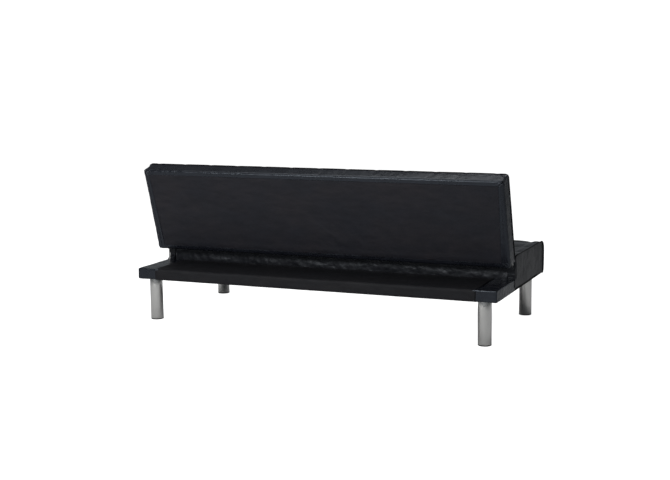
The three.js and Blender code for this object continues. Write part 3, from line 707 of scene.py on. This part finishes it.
QX = [k * PITCH for k in range(-6, 7)]
ZB = 0.2497                                   # underside, just above the deck
R_FT = 0.036
Z_ARC = SZ1 - 0.0016 - R_FT
SEAM = 0.0058


def build_seat():
    x1, y0, y1, zt, z0 = 0.8885, -0.3920, 0.1088, 0.3584, SZF + 0.0004
    us = lines(-x1, x1, 0.0105, QX, ((-x1, -x1 + 0.012, 0.004), (x1 - 0.012, x1, 0.004),
                                     (-x1 + 0.0022, -x1 + 0.0032, 0.0010), (x1 - 0.0032, x1 - 0.0022, 0.0010)))
    vs = lines(y0, y1, 0.0105, [y1 - 0.14, y1 - 0.28, y1 - 0.42], ((y0, y0 + R_FT, 0.006), (y1 - 0.012, y1, 0.004), (y1 - 0.0016, y1, 0.0016), (y0 + 0.0022, y0 + 0.0026, 0.0004)))
    ws = lines(z0, zt, 0.0105, [0.2835, 0.2130, ZB, ZB + 0.0016], ((zt - R_FT, zt, 0.006), (z0, z0 + 0.006, 0.003)))
    ijk, quads = box_grid(us, vs, ws)
    P = np.stack([us[ijk[:, 0]], vs[ijk[:, 1]], ws[ijk[:, 2]]], -1)
    x, y, z = P.T
    last = [len(us) - 1, len(vs) - 1, len(ws) - 1]
    isx = (ijk[:, 0] == 0) | (ijk[:, 0] == last[0])
    isf, isr = ijk[:, 1] == 0, ijk[:, 1] == last[1]
    isb, ist = ijk[:, 2] == 0, ijk[:, 2] == last[2]
    # front-top roll and the small rear-top one, in the yz plane
    yz = P[:, 1:].copy()
    q = yz.copy()
    fr = (y < y0 + R_FT) & (z > zt - R_FT)
    q[fr] = (y0 + R_FT, zt - R_FT)
    yz2 = yz.copy()
    yz2[fr] = round_map(yz[fr], q[fr])
    rr = (y > y1 - 0.010) & (z > zt - 0.010)
    qr = np.array([[y1 - 0.010, zt - 0.010]])
    yz2[rr] = round_map(yz[rr], np.repeat(qr, rr.sum(), 0))
    yb = (y < y0 + 0.02) & (z < z0 + 0.012)
    P[:, 1:] = yz2
    y2, z2 = yz2.T
    # distance along the quilt from the top's rear edge
    T = np.where(y2 > y0 + R_FT, y1 - y2, np.nan)
    ang = np.arctan2(-(y2 - (y0 + R_FT)), z2 - (zt - R_FT))
    T = np.where((y2 <= y0 + R_FT) & (z2 >= zt - R_FT), (y1 - y0 - R_FT) + R_FT * ang, T)
    T = np.where((y2 <= y0 + R_FT) & (z2 < zt - R_FT), (y1 - y0 - R_FT) + R_FT * math.pi / 2 + (zt - R_FT - z2), T)
    quilt = (ist | isf)
    Tend = (y1 - y0 - R_FT) + R_FT * math.pi / 2 + (zt - R_FT - z0)
    rows = [0.0, 0.14, 0.28, 0.42, 0.56, Tend]
    h = pillow(np.clip(x, -x1, x1), np.clip(T, 0, Tend), [-x1] + QX + [x1], rows)
    n = np.zeros((len(P), 2))
    n[:, 1] = np.where(y2 > y0 + R_FT, 1.0, np.clip(np.cos(ang), 0, 1))
    n[:, 0] = np.where(y2 > y0 + R_FT, 0.0, -np.clip(np.sin(ang), 0, 1))
    low = (y2 <= y0 + R_FT) & (z2 < zt - R_FT)
    n[low] = (-1, 0)
    off = np.where(quilt, -SEAM + (SEAM + 0.0015) * h, 0)
    # at the borders the quilt comes up to the piping
    edge = np.minimum(smoothstep(x1, x1 - 0.022, np.abs(x)), smoothstep(-0.001, 0.022, T))
    off = off * (0.15 + 0.85 * edge)
    # below the deck the cover lies over the rail, so nothing is drawn in there
    off = np.where(quilt & low, off * smoothstep(0.254, 0.276, z2), off)
    P[:, 1] += n[:, 0] * off
    P[:, 2] += n[:, 1] * off
    # end walls start a touch inside, their lower edge is higher than the front's
    wall = isx & ~isf & ~ist
    zend = 0.2128
    k = smoothstep(y0 + 0.010, y0 + 0.075, P[:, 1])
    lowcut = z0 + (zend - z0) * k + 0.0012 * np.sin(P[:, 1] * 24)
    P[:, 2] = np.where(isx | (np.abs(x) > x1 - 0.0040), np.maximum(P[:, 2], lowcut), P[:, 2])
    # recessed underside: a thin skirt at the ends and the front, the deck inside
    inside = isb & (np.abs(x) < x1 - 0.0027) & (y > y0 + 0.0024)
    rearwall_low = isr & (z < ZB) & (np.abs(x) < x1 - 0.0027)
    P[inside, 2] = ZB
    P[rearwall_low, 2] = ZB
    # the rear wall bellies out below the hinge line, round the corners too
    belly = smoothstep(0.302, 0.258, P[:, 2])
    P[:, 1] += 0.0042 * belly * smoothstep(0.070, y1, y) * np.where(isr | isx, 1.0, 0.0)
    # soft vertical corner at the rear, above the platform
    rc = 0.0195
    xy = np.stack([x, y], -1)
    qc = np.stack([np.clip(x, -x1 + rc, x1 - rc), np.minimum(y, y1 - rc)], -1)
    sel = (np.abs(x) > x1 - rc) & (y > y1 - rc)
    dxy = np.where(sel[:, None], round_map(xy, qc) - xy, 0) * smoothstep(0.2512, 0.2600, P[:, 2])[:, None]
    P[:, :2] += dxy
    pin = np.zeros(len(P))
    pin[isb] = 1
    pin[z <= ZB + 0.0005] = 1
    on_col = quilt & (np.min(np.abs(x[:, None] - np.array(QX)[None]), 1) < 1e-4)
    Tn = np.where(np.isnan(T), 9, T)
    on_row = quilt & (np.min(np.abs(Tn[:, None] - np.array(rows[1:-1])[None]), 1) < 0.0026)
    near = np.zeros(len(P), bool)
    for r in rows[1:-1]:
        cand = quilt & (np.abs(Tn - r) < 0.006)
        if cand.any():
            t0 = np.unique(np.round(Tn[cand], 4))
            best = t0[np.argmin(np.abs(t0 - r))]
            near |= cand & (np.abs(Tn - best) < 2e-4)
    pin[on_col | near] = 1
    pin[isx & (ist | isf)] = 1
    pin[(isr & ist)] = 1
    pin[rr] = 1
    pin[wall & (z < 0.2130 + 0.012)] = 1
    ob = make_mesh("seat_cushion", P, quads, mat=LEATHER)
    flip_out(ob)
    return ob, pin, np.where(wall, 0.16, np.where(isr, 0.40, 1.0))


def flip_out(ob):
    import bmesh
    bm = bmesh.new()
    bm.from_mesh(ob.data)
    bmesh.ops.recalc_face_normals(bm, faces=bm.faces)
    bm.to_mesh(ob.data)
    bm.free()
    ob.data.update()


PIV = np.array([0.13630092, 0.34810400])


def front_drop(y, z):
    """The pad's foam is worn to a softer roll along the front."""
    return 0.0026 * smoothstep(0.300, 0.368, -y) * smoothstep(0.300, 0.346, z)


seat, seat_pin, seat_scale = build_seat()
cloth(seat, seat_pin, frames=18, pressure=2.8, shrink=-0.022, cap=0.0085, stiff=14.0, scale=seat_scale)
me = seat.data
co = np.empty(len(me.vertices) * 3); me.vertices.foreach_get("co", co); co = co.reshape(-1, 3)
# the end walls stay flatter than the top, and the rear wall clears the hinge line
co[:, 0] = np.clip(co[:, 0], -0.8920, 0.8920)
co[:, 1] = np.maximum(co[:, 1], -0.4040)
dz = np.abs(co[:, 2] - PIV[1])
co[:, 2] -= front_drop(co[:, 1], co[:, 2])
lim = np.where(dz < 0.0262, PIV[0] - np.sqrt(np.maximum(0.0262 ** 2 - dz ** 2, 0)), 0.1180)
lim = np.where(co[:, 2] > PIV[1], np.minimum(lim, 0.1100), np.minimum(lim, 0.1180))
co[:, 1] = np.minimum(co[:, 1], lim)
me.vertices.foreach_set("co", co.ravel()); me.update()
subdivide(seat); apply_modifiers(seat)


def surface_wrinkles(ob, fn):
    """Moves points along their normals by fn(points, normals), in metres."""
    me = ob.data
    n = len(me.vertices)
    co = np.empty(n * 3); me.vertices.foreach_get("co", co); co = co.reshape(-1, 3)
    no = np.empty(n * 3); me.vertex_normals.foreach_get("vector", no); no = no.reshape(-1, 3)
    co += no * fn(co, no)[:, None]
    me.vertices.foreach_set("co", co.ravel())
    me.update()


def seat_wrinkles(p, n):
    end = smoothstep(0.55, 0.85, np.abs(n[:, 0]))
    rear = smoothstep(0.5, 0.8, n[:, 1])
    # slanting drag lines on the end walls, crumpled leather on the rear wall
    a = fnoise(p * np.array([1.0, 1.0, 2.4]), 0.075, 21.0, 3)
    b = fnoise(p * np.array([1.0, 1.0, 0.8]), 0.028, 31.0, 3)
    vert = fnoise(p * np.array([1.0, 1.0, 0.35]), 0.016, 37.0, 2)
    corner = smoothstep(0.80, 0.885, np.abs(p[:, 0]))
    upright = fnoise(p * np.array([1.0, 1.0, 0.5]), 0.066, 25.0, 2)
    rcor = smoothstep(0.055, 0.100, p[:, 1]) * corner
    out = end * (0.0008 * a + 0.0010 * upright + 0.0004 * b)
    out += rear * (0.0014 * a + 0.0019 * b)
    # bunched leather round the rear corners
    out += rcor * (0.0022 * vert + 0.0010 * b) * smoothstep(0.345, 0.320, p[:, 2])
    out = np.where(rear > 0.2, np.minimum(out, 0.0012), out)
    return np.where(p[:, 2] < ZB + 0.0004, 0, out)


surface_wrinkles(seat, seat_wrinkles)
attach(seat, "base"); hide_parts("seat_foam", "seat_cover")

for side, sx in (("left", 1), ("right", -1)):
    ctrl = [(0.1030, 0.3500), (0.1010, 0.3575), (0.0940, 0.3608), (0.0600, 0.3606), (-0.10, 0.3596), (-0.30, 0.3590), (-0.335, 0.3578)]
    ctrl += [(-0.3560 - 0.0378 * math.sin(a), 0.3222 + 0.0378 * math.cos(a)) for a in np.linspace(0.25, math.pi / 2, 7)]
    ctrl += [(-0.3945, 0.290), (-0.3950, 0.250), (-0.3940, 0.222), (-0.3905, 0.2085), (-0.3820, 0.2035)]
    path, t = resample(ctrl, 0.004)
    path3 = np.stack([np.full(len(path), sx * 0.8898), path[:, 0], path[:, 1]], -1)
    yy = np.clip(path3[:, 1] - (0.1088 - 0.0195), 0, 0.0192)
    path3[:, 0] -= sx * (0.0195 - np.sqrt(0.0195 ** 2 - yy ** 2))
    path3[:, 0] += sx * 0.0006 * np.sin(t * 26)
    path3[:, 2] += 0.0006 * np.sin(t * 17 + 1)
    path3[:, 2] -= front_drop(path3[:, 1], path3[:, 2])
    for _ in range(3):
        path3[1:-1] = (path3[:-2] + 2 * path3[1:-1] + path3[2:]) / 4
    pp = tube(f"seat_welt_{side}", path3, 0.0033, PIPING, sides=14)
    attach(pp, "base"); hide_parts(f"seat_piping_{side}")


# the cover's loose leather bunches up round each hinge bracket's foot
for side, sx, xa, xb in (("left", 1, 0.842, 0.8700), ("right", -1, 0.853, 0.8880)):
    us = np.linspace(xa, xb, 22)
    vs = np.linspace(0.0980, 0.1275, 18)
    ws = np.linspace(0.2506, 0.3165, 34)
    ijk, quads = box_grid(us, vs, ws)
    P = np.stack([us[ijk[:, 0]], vs[ijk[:, 1]], ws[ijk[:, 2]]], -1)
    r = 0.0125
    q = np.stack([np.clip(P[:, 0], xa + r, xb - r), np.clip(P[:, 1], 0.098 + r, 0.1275 - r), np.clip(P[:, 2], 0.2506, 0.3165 - r)], -1)
    P2 = round_map(P, q)
    N = P2 - q
    N /= np.maximum(np.linalg.norm(N, axis=1, keepdims=True), 1e-6)
    th = np.arctan2(P2[:, 1] - 0.1127, P2[:, 0] - (xa + xb) / 2)
    zz = (P2[:, 2] - 0.2512) / 0.0653
    folds = np.sin(th * 7 + 5.0 * zz + sx) * (0.6 + 0.4 * np.sin(zz * 9 + th * 2))
    P2 += N * (0.0015 * folds + 0.0010 * fnoise(P2 * np.array([sx, 1, 1]), 0.014, 83.0 + sx, 2))[:, None]
    # clear of the backrest's lower wall where it comes down behind the seat
    P2[:, 1] = np.minimum(P2[:, 1], 0.1158 + 0.0115 * smoothstep(0.2770, 0.2640, P2[:, 2]) - 0.0008 * (0.5 + 0.5 * folds))
    P2[:, 0] = np.minimum(P2[:, 0], 0.8898)
    P2[:, 2] = np.maximum(P2[:, 2], 0.2506)
    P2[:, 0] *= sx
    tuck = make_mesh(f"cover_gather_{side}", P2, quads, mat=LEATHER)
    flip_out(tuck)
    subdivide(tuck); apply_modifiers(tuck)
    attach(tuck, "base")


# ---------------------------------------------------------------- the backrest
ROWS = [0.0, BH / 3, 2 * BH / 3, BH]
D1 = 0.0797


def hem_x(s):
    """Inner edge of the hem and its outer seam, as |x| at a height s."""
    t = np.clip((s - 0.034) / (0.400 - 0.034), 0, 1)
    return 0.8485 + (0.8630 - 0.8485) * t, 0.8650 + (0.8755 - 0.8650) * t


HEM_TOP, HEM_BOT = 0.3945, 0.0270


def bed(s):
    """Depth of the panel's bed below the hem, shallow along the lower edge."""
    return 0.0030 - 0.0016 * smoothstep(0.070, 0.034, s)



def build_back():
    x1, d0, d1, s0, s1 = 0.8890, 0.0010, D1, 0.0008, 0.4200
    us = lines(-x1, x1, 0.0105, QX, ((-x1, -x1 + 0.015, 0.003), (x1 - 0.015, x1, 0.003), (-0.863, -0.855, 0.0016), (0.855, 0.863, 0.0016),
                                     (-0.8765, -0.8705, 0.0015), (0.8705, 0.8765, 0.0015)))
    vs = lines(d0, d1, 0.0085, (), ((d0, d0 + 0.006, 0.003), (d1 - 0.013, d1, 0.0032)))
    ws = lines(s0, s1, 0.0100, ROWS[1:3], ((s0, s0 + 0.013, 0.0032), (s1 - 0.013, s1, 0.0032),
                                           (HEM_TOP - 0.002, HEM_TOP + 0.005, 0.0016), (HEM_BOT - 0.005, HEM_BOT + 0.002, 0.0016)))
    ijk, quads = box_grid(us, vs, ws)
    P = np.stack([us[ijk[:, 0]], vs[ijk[:, 1]], ws[ijk[:, 2]]], -1)
    x, d, s = P.T.copy()
    L = [len(us) - 1, len(vs) - 1, len(ws) - 1]
    isx = (ijk[:, 0] == 0) | (ijk[:, 0] == L[0])
    isf, isr = ijk[:, 1] == 0, ijk[:, 1] == L[1]
    isb, ist = ijk[:, 2] == 0, ijk[:, 2] == L[2]
    # the hem's slanting inner edge and outer seam
    b1, b2 = hem_x(s)
    ax = np.abs(x)
    warped = np.select([ax < 0.80, ax < 0.858, ax < 0.8725], [ax, 0.80 + (ax - 0.80) / 0.058 * (b1 - 0.80), b1 + (ax - 0.858) / 0.0145 * (b2 - b1)],
                       b2 + (ax - 0.8725) / (x1 - 0.8725) * (x1 - b2))
    wgt = smoothstep(0.045, 0.070, d)
    ax2 = ax + (warped - ax) * wgt
    P[:, 0] = np.sign(x) * ax2
    # rounded rear edges and corners
    r = 0.0125
    q = P.copy()
    rear = d > d1 - r
    q[:, 0] = np.where(rear | True, np.clip(P[:, 0], -x1 + r, x1 - r), P[:, 0])
    q[:, 1] = np.minimum(P[:, 1], d1 - r)
    q[:, 2] = np.clip(P[:, 2], s0 + r, s1 - r)
    P = np.where(rear[:, None], round_map(P, q), P)
    # vertical edges in front of that round off in plan (x, s) only
    xs2, qq = P[:, [0, 2]], q[:, [0, 2]]
    rounded = round_map(xs2, qq)
    keep = (1 - smoothstep(0.012, 0.028, d))[:, None]      # square under the piping at the front
    blend_xs = np.where(rear[:, None], xs2, xs2 * keep + rounded * (1 - keep))
    P[:, 0], P[:, 2] = blend_xs[:, 0], blend_xs[:, 1]
    # quilted front
    h = pillow(x, s, [-x1] + QX + [x1], [s0] + ROWS[1:3] + [s1])
    edge = np.minimum(smoothstep(x1, x1 - 0.022, np.abs(x)), np.minimum(smoothstep(s0, s0 + 0.022, s), smoothstep(s1, s1 - 0.022, s)))
    off = np.where(isf, -SEAM + (SEAM + 0.001) * h, 0) * (0.12 + 0.88 * edge)
    P[:, 1] -= off * isf
    # the panel's bed sits a little below the hem
    b1, b2 = hem_x(P[:, 2])
    inside = smoothstep(0.0016, -0.0016, np.abs(P[:, 0]) - b1) * smoothstep(HEM_BOT - 0.0016, HEM_BOT + 0.0016, P[:, 2]) * smoothstep(HEM_TOP + 0.0016, HEM_TOP - 0.0016, P[:, 2])
    P[:, 1] -= isr * inside * bed(P[:, 2])
    # the folded edge of the hem stands up a little, all the way round
    lipx = np.exp(-((np.abs(P[:, 0]) - b1 - 0.0030) / 0.0017) ** 2) * smoothstep(HEM_BOT - 0.006, HEM_BOT, P[:, 2]) * smoothstep(HEM_TOP + 0.006, HEM_TOP, P[:, 2])
    inx = smoothstep(0.006, 0.0, np.abs(P[:, 0]) - b1)
    lipt = np.exp(-((P[:, 2] - HEM_TOP - 0.0028) / 0.0017) ** 2) * inx
    lipb = np.exp(-((P[:, 2] - HEM_BOT + 0.0028) / 0.0017) ** 2) * inx
    P[:, 1] += isr * 0.0014 * np.maximum(lipx, np.maximum(lipt, 0.1 * lipb))
    # outer seam: a fine groove with a lip outside it
    g = np.exp(-((np.abs(P[:, 0]) - b2) / 0.0014) ** 2) * isr
    P[:, 1] -= g * 0.0012
    P[:, 1] += isr * 0.0008 * np.exp(-((np.abs(P[:, 0]) - b2 - 0.0030) / 0.0016) ** 2)
    pin = np.zeros(len(P))
    pin[isr] = 1
    pin[d > d1 - 0.010] = 1
    pin[isf & (isx | isb | ist)] = 1
    pin[isb] = 1
    on = isf & ((np.min(np.abs(x[:, None] - np.array(QX)[None]), 1) < 1e-4) | (np.min(np.abs(s[:, None] - np.array(ROWS[1:3])[None]), 1) < 1e-4))
    pin[on] = 1
    ob = make_mesh("back_cushion", P, quads, mat=LEATHER_BACK)
    flip_out(ob)
    return ob, pin, np.where(isx, 0.25, np.where(ist, 0.20, 0.9 * (1 - 0.62 * smoothstep(0.29, 0.40, s))))


back, back_pin, back_scale = build_back()
cloth(back, back_pin, frames=18, pressure=3.0, shrink=-0.024, cap=0.0100, stiff=14.0, scale=back_scale)
me = back.data
co = np.empty(len(me.vertices) * 3); me.vertices.foreach_get("co", co); co = co.reshape(-1, 3)
co[:, 0] = np.clip(co[:, 0], -0.8930, 0.8930)
co[:, 2] = np.clip(co[:, 2], 0.0, 0.4262)
co[:, 1] = np.maximum(co[:, 1], -0.0075)
me.vertices.foreach_set("co", co.ravel()); me.update()
subdivide(back); apply_modifiers(back)


def back_wrinkles(p, n):
    x, d, s = p.T
    rear = smoothstep(0.5, 0.85, n[:, 1])
    end = smoothstep(0.55, 0.85, np.abs(n[:, 0]))
    top = smoothstep(0.55, 0.85, n[:, 2])
    b1, _ = hem_x(s)
    onpanel = (np.abs(x) < b1 - 0.001) & (s > HEM_BOT) & (s < HEM_TOP) & (n[:, 1] > 0.5)
    a = fnoise(p, 0.060, 41.0, 3)
    b = fnoise(p * np.array([1.0, 1.0, 1.6]), 0.024, 47.0, 2)
    hemw = smoothstep(0.0, 0.004, np.maximum(np.abs(x) - b1, np.maximum(s - HEM_TOP, HEM_BOT - s)))
    out = rear * hemw * (0.0006 * a + 0.0006 * b) + end * (0.0010 * a + 0.0006 * b) + top * (0.0008 * a + 0.0006 * b)
    # gathers that fan out from the corners
    for cx in (-1, 1):
        for cs, amp in ((0.4200, 1.0), (0.0008, 0.9)):
            u, v = 0.889 - cx * x, np.abs(s - cs)
            rad = np.hypot(np.hypot(u, v), (D1 - d)) + 1e-6
            th = np.arctan2(v, u + 0.3 * (D1 - d))
            fan = np.sin(th * 14 + cx * 0.8 + 25 * rad) * (0.7 + 0.3 * np.sin(th * 5 + cs * 9))
            if cs > 0.2:
                # the hem's mitred corner: a sewn diagonal with a lip beside it
                off, along = (u - v) / math.sqrt(2), (u + v) / 2
                span = smoothstep(0.031, 0.025, along) * smoothstep(0.002, 0.006, along) * rear
                out += span * (0.0010 * np.exp(-((off - 0.0032) / 0.0017) ** 2) - 0.0014 * np.exp(-(off / 0.0015) ** 2))
            out += amp * (0.0024 if cs > 0.2 else 0.0017) * fan * np.exp(-((rad - 0.016) / 0.018) ** 2)
    # the leather draws in at the quilting lines along the top
    colx = np.min(np.abs(x[:, None] - np.array(QX)[None]), 1)
    out -= top * 0.0011 * np.exp(-(colx / 0.006) ** 2) * smoothstep(0.070, 0.0, d)
    return np.where(onpanel, 0, out)


surface_wrinkles(back, back_wrinkles)


def to_world(ob):
    me = ob.data
    n = len(me.vertices)
    co = np.empty(n * 3); me.vertices.foreach_get("co", co)
    me.vertices.foreach_set("co", back_to_world(co.reshape(-1, 3)).ravel())
    me.update()


to_world(back)
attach(back, "backrest"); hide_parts("back_foam", "back_cover")

# rear panel: one stretched sheet tucked under the hem
def build_panel():
    step = 0.006
    s = np.linspace(HEM_BOT - 0.004, HEM_TOP + 0.004, int(0.3755 / step) + 1)
    u = np.linspace(-1, 1, int(1.735 / step) + 1)
    S, U = np.meshgrid(s, u, indexing="ij")
    B, _ = hem_x(S)
    X = U * (B + 0.004)
    p = np.stack([X.ravel(), np.zeros(X.size), S.ravel()], -1)
    big = fnoise(p, 0.42, 61.0, 2)
    rot = np.stack([p[:, 0] * 0.77 + p[:, 2] * 0.64, p[:, 1], (-p[:, 0] * 0.64 + p[:, 2] * 0.77) * 3.2], -1)
    diag = fnoise(rot, 0.20, 67.0, 3)
    rot2 = np.stack([p[:, 0] * 0.70 - p[:, 2] * 0.71, p[:, 1], (p[:, 0] * 0.71 + p[:, 2] * 0.70) * 2.6], -1)
    diag2 = fnoise(rot2, 0.17, 71.0, 2)
    x, ss = p[:, 0], p[:, 2]
    zone = smoothstep(-0.42, -0.30, x) * smoothstep(0.12, -0.02, x) * smoothstep(0.30, 0.18, ss)
    h = 0.0009 * big + (0.0007 + 0.0020 * zone) * diag + 0.0008 * diag2
    # short crease by the lower hem
    h += 0.0016 * np.exp(-((x - 0.270) / 0.014) ** 2) * np.exp(-((ss - HEM_BOT - 0.006) / 0.010) ** 2)
    # puckers along the bottom seam, and drag lines towards the corners
    h += 0.0003 * np.sin(x * 95 + 2 * big) * np.exp(-(ss - HEM_BOT) / 0.020) * (0.5 + 0.5 * diag2)
    h += 0.0004 * np.sin(x * 120 + 3 * big) * np.exp(-(HEM_TOP - ss) / 0.012)
    Bx = np.abs(B.ravel())
    edge = smoothstep(0.0, 0.016, np.minimum(np.minimum(Bx - np.abs(x), ss - HEM_BOT), HEM_TOP - ss) + 0.001)
    # the lowest part sits in its bed, the margins dip under the hem
    d = D1 - bed(ss) + 0.0012 + (0.0011 + h) * edge
    d = np.maximum(d, D1 - bed(ss) + 0.0010)
    P = np.stack([x, d, ss], -1)
    ns, nu = S.shape
    ids = np.arange(ns * nu).reshape(ns, nu)
    F = np.stack([ids[:-1, :-1], ids[1:, :-1], ids[1:, 1:], ids[:-1, 1:]], -1).reshape(-1, 4)
    ob = make_mesh("rear_panel", back_to_world(P), F, mat=PANEL)
    area = sum(q.area for q in ob.data.polygons)
    m = ob.modifiers.new("Solidify", "SOLIDIFY")
    m.thickness = 0.0008
    m.offset = 1.0 if ob.data.polygons[0].normal.y < 0 else -1.0
    apply_modifiers(ob)
    return ob, area


panel, panel_area = build_panel()
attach(panel, "backrest"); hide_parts("back_panel")

# piping around the backrest's front edge
ctrl = []
e = 0.0010
for s in np.linspace(0.012, BH - 0.016, 60):
    ctrl.append((-BX + e, s))
ctrl += [(-BX + e + 0.014 - 0.014 * math.cos(a), BH - e - 0.014 + 0.014 * math.sin(a)) for a in np.linspace(0.1, math.pi / 2, 8)]
for x in np.linspace(-BX + 0.018, BX - 0.018, 220):
    ctrl.append((x, BH - e))
ctrl += [(BX - e - 0.014 + 0.014 * math.sin(a), BH - e - 0.014 + 0.014 * math.cos(a)) for a in np.linspace(0.0, math.pi / 2 - 0.1, 8)]
for s in np.linspace(BH - 0.016, 0.012, 60):
    ctrl.append((BX - e, s))
path, t = resample(ctrl, 0.005)
P3 = np.stack([path[:, 0], np.full(len(path), 0.0030), path[:, 1]], -1)
# the cord is pulled in a little at every quilting line
pull = np.exp(-(np.min(np.abs(P3[:, 0][:, None] - np.array(QX)[None]), 1) / 0.010) ** 2) * (P3[:, 2] > BH - 0.01)
P3[:, 2] -= 0.0011 * pull
P3[:, 1] += 0.0008 * pull + 0.0005 * np.sin(t * 19)
welt = tube("back_welt", back_to_world(P3), 0.0033, PIPING, sides=14)
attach(welt, "backrest"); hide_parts("back_piping")


# --------------------------------------------------------------------- stitches
def stitches(name, runs, mat, pitch=0.0062, length=0.0044, radius=0.00046):
    """Thread dashes along runs of (points, outward normals), one mesh."""
    V, F = [], []
    for pts, nrm in runs:
        pts, nrm = np.asarray(pts, float), np.asarray(nrm, float)
        L = np.r_[0, np.cumsum(np.linalg.norm(np.diff(pts, axis=0), axis=1))]
        for c in np.arange(pitch, L[-1] - pitch, pitch):
            ts = np.array([c - length / 2, c - length / 3.2, c, c + length / 3.2, c + length / 2])
            lift = np.array([-0.0003, 0.0001, 0.0003, 0.0001, -0.0003])
            rr = np.array([0.35, 1, 1, 1, 0.35]) * radius
            p = np.stack([np.interp(ts, L, pts[:, k]) for k in range(3)], -1)
            n = np.stack([np.interp(ts, L, nrm[:, k]) for k in range(3)], -1)
            n /= np.linalg.norm(n, axis=1, keepdims=True)
            tan = p[-1] - p[0]
            tan /= np.linalg.norm(tan)
            b = np.cross(tan, n)
            p = p + n * lift[:, None]
            base = len(V)
            for i in range(5):
                for k in range(6):
                    a = k * math.pi / 3
                    V.append(p[i] + rr[i] * (math.cos(a) * n[i] + math.sin(a) * b[i]))
            for i in range(4):
                for k in range(6):
                    a0, a1 = base + i * 6 + k, base + i * 6 + (k + 1) % 6
                    F.append((a0, a1, a1 + 6, a0 + 6))
            F.append(tuple(base + k for k in range(6))[::-1])
            F.append(tuple(base + 24 + k for k in range(6)))
    return make_mesh(name, V, F, mat=mat)


def hem_run(points):
    P = np.array(points, float)
    W = back_to_world(P)
    n = np.tile(np.array([0.0, cA, -sA]), (len(P), 1))
    return W, n


off = 0.0022
runs = []
ss = np.linspace(HEM_BOT + 0.004, HEM_TOP - 0.004, 80)
for sg in (-1, 1):
    runs.append(hem_run([(sg * (hem_x(s)[0] + off), D1 + 0.0002, s) for s in ss]))
    runs.append(hem_run([(sg * (hem_x(s)[1] - 0.0030), D1 + 0.0002, s) for s in ss]))
runs.append(hem_run([(x, D1 + 0.0002, HEM_TOP + off) for x in np.linspace(-0.861, 0.861, 300)]))
hem_thread = stitches("hem_stitching", runs, THREAD)
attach(hem_thread, "backrest")

# ------------------------------------------------------------- floor and light
m = Nodes("studio_floor")
nf = m.noise(m.obj, 3.0, 2.0, 0.5)
FLOOR = m.set(color=m.mixcol(nf, (0.93, 0.93, 0.93), (0.95, 0.95, 0.95)), rough=0.9, spec=0.0)
m.bsdf.inputs["Emission Color"].default_value = (1, 1, 1, 1)
flp = m.n("ShaderNodeLightPath")
m.link(m.math("MULTIPLY", flp.outputs["Is Camera Ray"], 0.98), m.bsdf.inputs["Emission Strength"])
fl = make_mesh("floor", [(-40, -40, 0), (40, -40, 0), (40, 40, 0), (-40, 40, 0)], [(0, 1, 2, 3)], smooth=False, mat=FLOOR)


def area(name, loc, target, size, power):
    li = bpy.data.lights.new(name, "AREA")
    li.shape = "RECTANGLE"
    li.size, li.size_y = size
    li.energy = power
    ob = bpy.data.objects.new(name, li)
    COL.objects.link(ob)
    ob.location = loc
    ob.rotation_euler = (Vector(target) - Vector(loc)).to_track_quat("-Z", "Y").to_euler()
    return ob


key = area("light_top", (0.3, -0.2, 3.4), (0, 0, 0.3), (4.0, 2.6), 37)
rearl = area("light_rear", (1.0, 4.4, 2.2), (0, 0.2, 0.3), (3.2, 1.0), 72)

# soft world: brighter low in front and behind, dim at the ends; white to the camera
world = bpy.data.worlds.new("studio_world")
scene.world = world
world.use_nodes = True
wt = world.node_tree
wt.nodes.clear()


def wn(kind, **kw):
    nd = wt.nodes.new(kind)
    for k, v in kw.items():
        setattr(nd, k, v)
    return nd


def wmath(op, a, b):
    nd = wn("ShaderNodeMath", operation=op)
    for i, v in enumerate((a, b)):
        if hasattr(v, "links"):
            wt.links.new(v, nd.inputs[i])
        else:
            nd.inputs[i].default_value = v
    return nd.outputs[0]


wtc = wn("ShaderNodeTexCoord")
sep = wn("ShaderNodeSeparateXYZ")
wt.links.new(wtc.outputs["Generated"], sep.inputs[0])
wx, wy, wz = sep.outputs
low = wmath("POWER", wmath("MAXIMUM", wmath("SUBTRACT", 1.0, wmath("ABSOLUTE", wz, 0.0)), 0.0), 3.0)
facing = wmath("POWER", wmath("ABSOLUTE", wy, 0.0), 2.0)
lobe = wmath("MULTIPLY", low, facing)
front = wmath("MULTIPLY", wmath("LESS_THAN", wy, 0.0), 0.25)
level = wmath("ADD", 0.07, wmath("MULTIPLY", lobe, wmath("ADD", 0.20, front)))
wo = wn("ShaderNodeOutputWorld")
bg_cam = wn("ShaderNodeBackground")
bg_cam.inputs[0].default_value = (1, 1, 1, 1)
bg_cam.inputs[1].default_value = 1.2
bg_fill = wn("ShaderNodeBackground")
bg_fill.inputs[0].default_value = (0.90, 0.95, 1.0, 1)
wt.links.new(level, bg_fill.inputs[1])
lp = wn("ShaderNodeLightPath")
mx = wn("ShaderNodeMixShader")
wt.links.new(lp.outputs["Is Camera Ray"], mx.inputs[0])
wt.links.new(bg_fill.outputs[0], mx.inputs[1])
wt.links.new(bg_cam.outputs[0], mx.inputs[2])
wt.links.new(mx.outputs[0], wo.inputs[0])
scene.view_settings.view_transform = "Standard"

# ---------------------------------------------------------------------- camera
cam = bpy.data.cameras.new("camera")
cam.lens = 69.865
cam.sensor_width = 36.0
cam.sensor_fit = "HORIZONTAL"
cam.clip_start, cam.clip_end = 0.05, 200.0
cam.dof.use_dof = False
cob = bpy.data.objects.new("camera", cam)
COL.objects.link(cob)
r, u, fw = Vector((-0.92093894, -0.38953072, -0.01171699)), Vector((0.04832065, -0.14397185, 0.98840135)), Vector((0.3866996, -0.90969112, -0.15141166))
M = Matrix((r, u, -fw)).transposed().to_4x4()
M.translation = Vector((-2.38097, 5.67043, 1.31438))
cob.matrix_world = M
scene.camera = cob
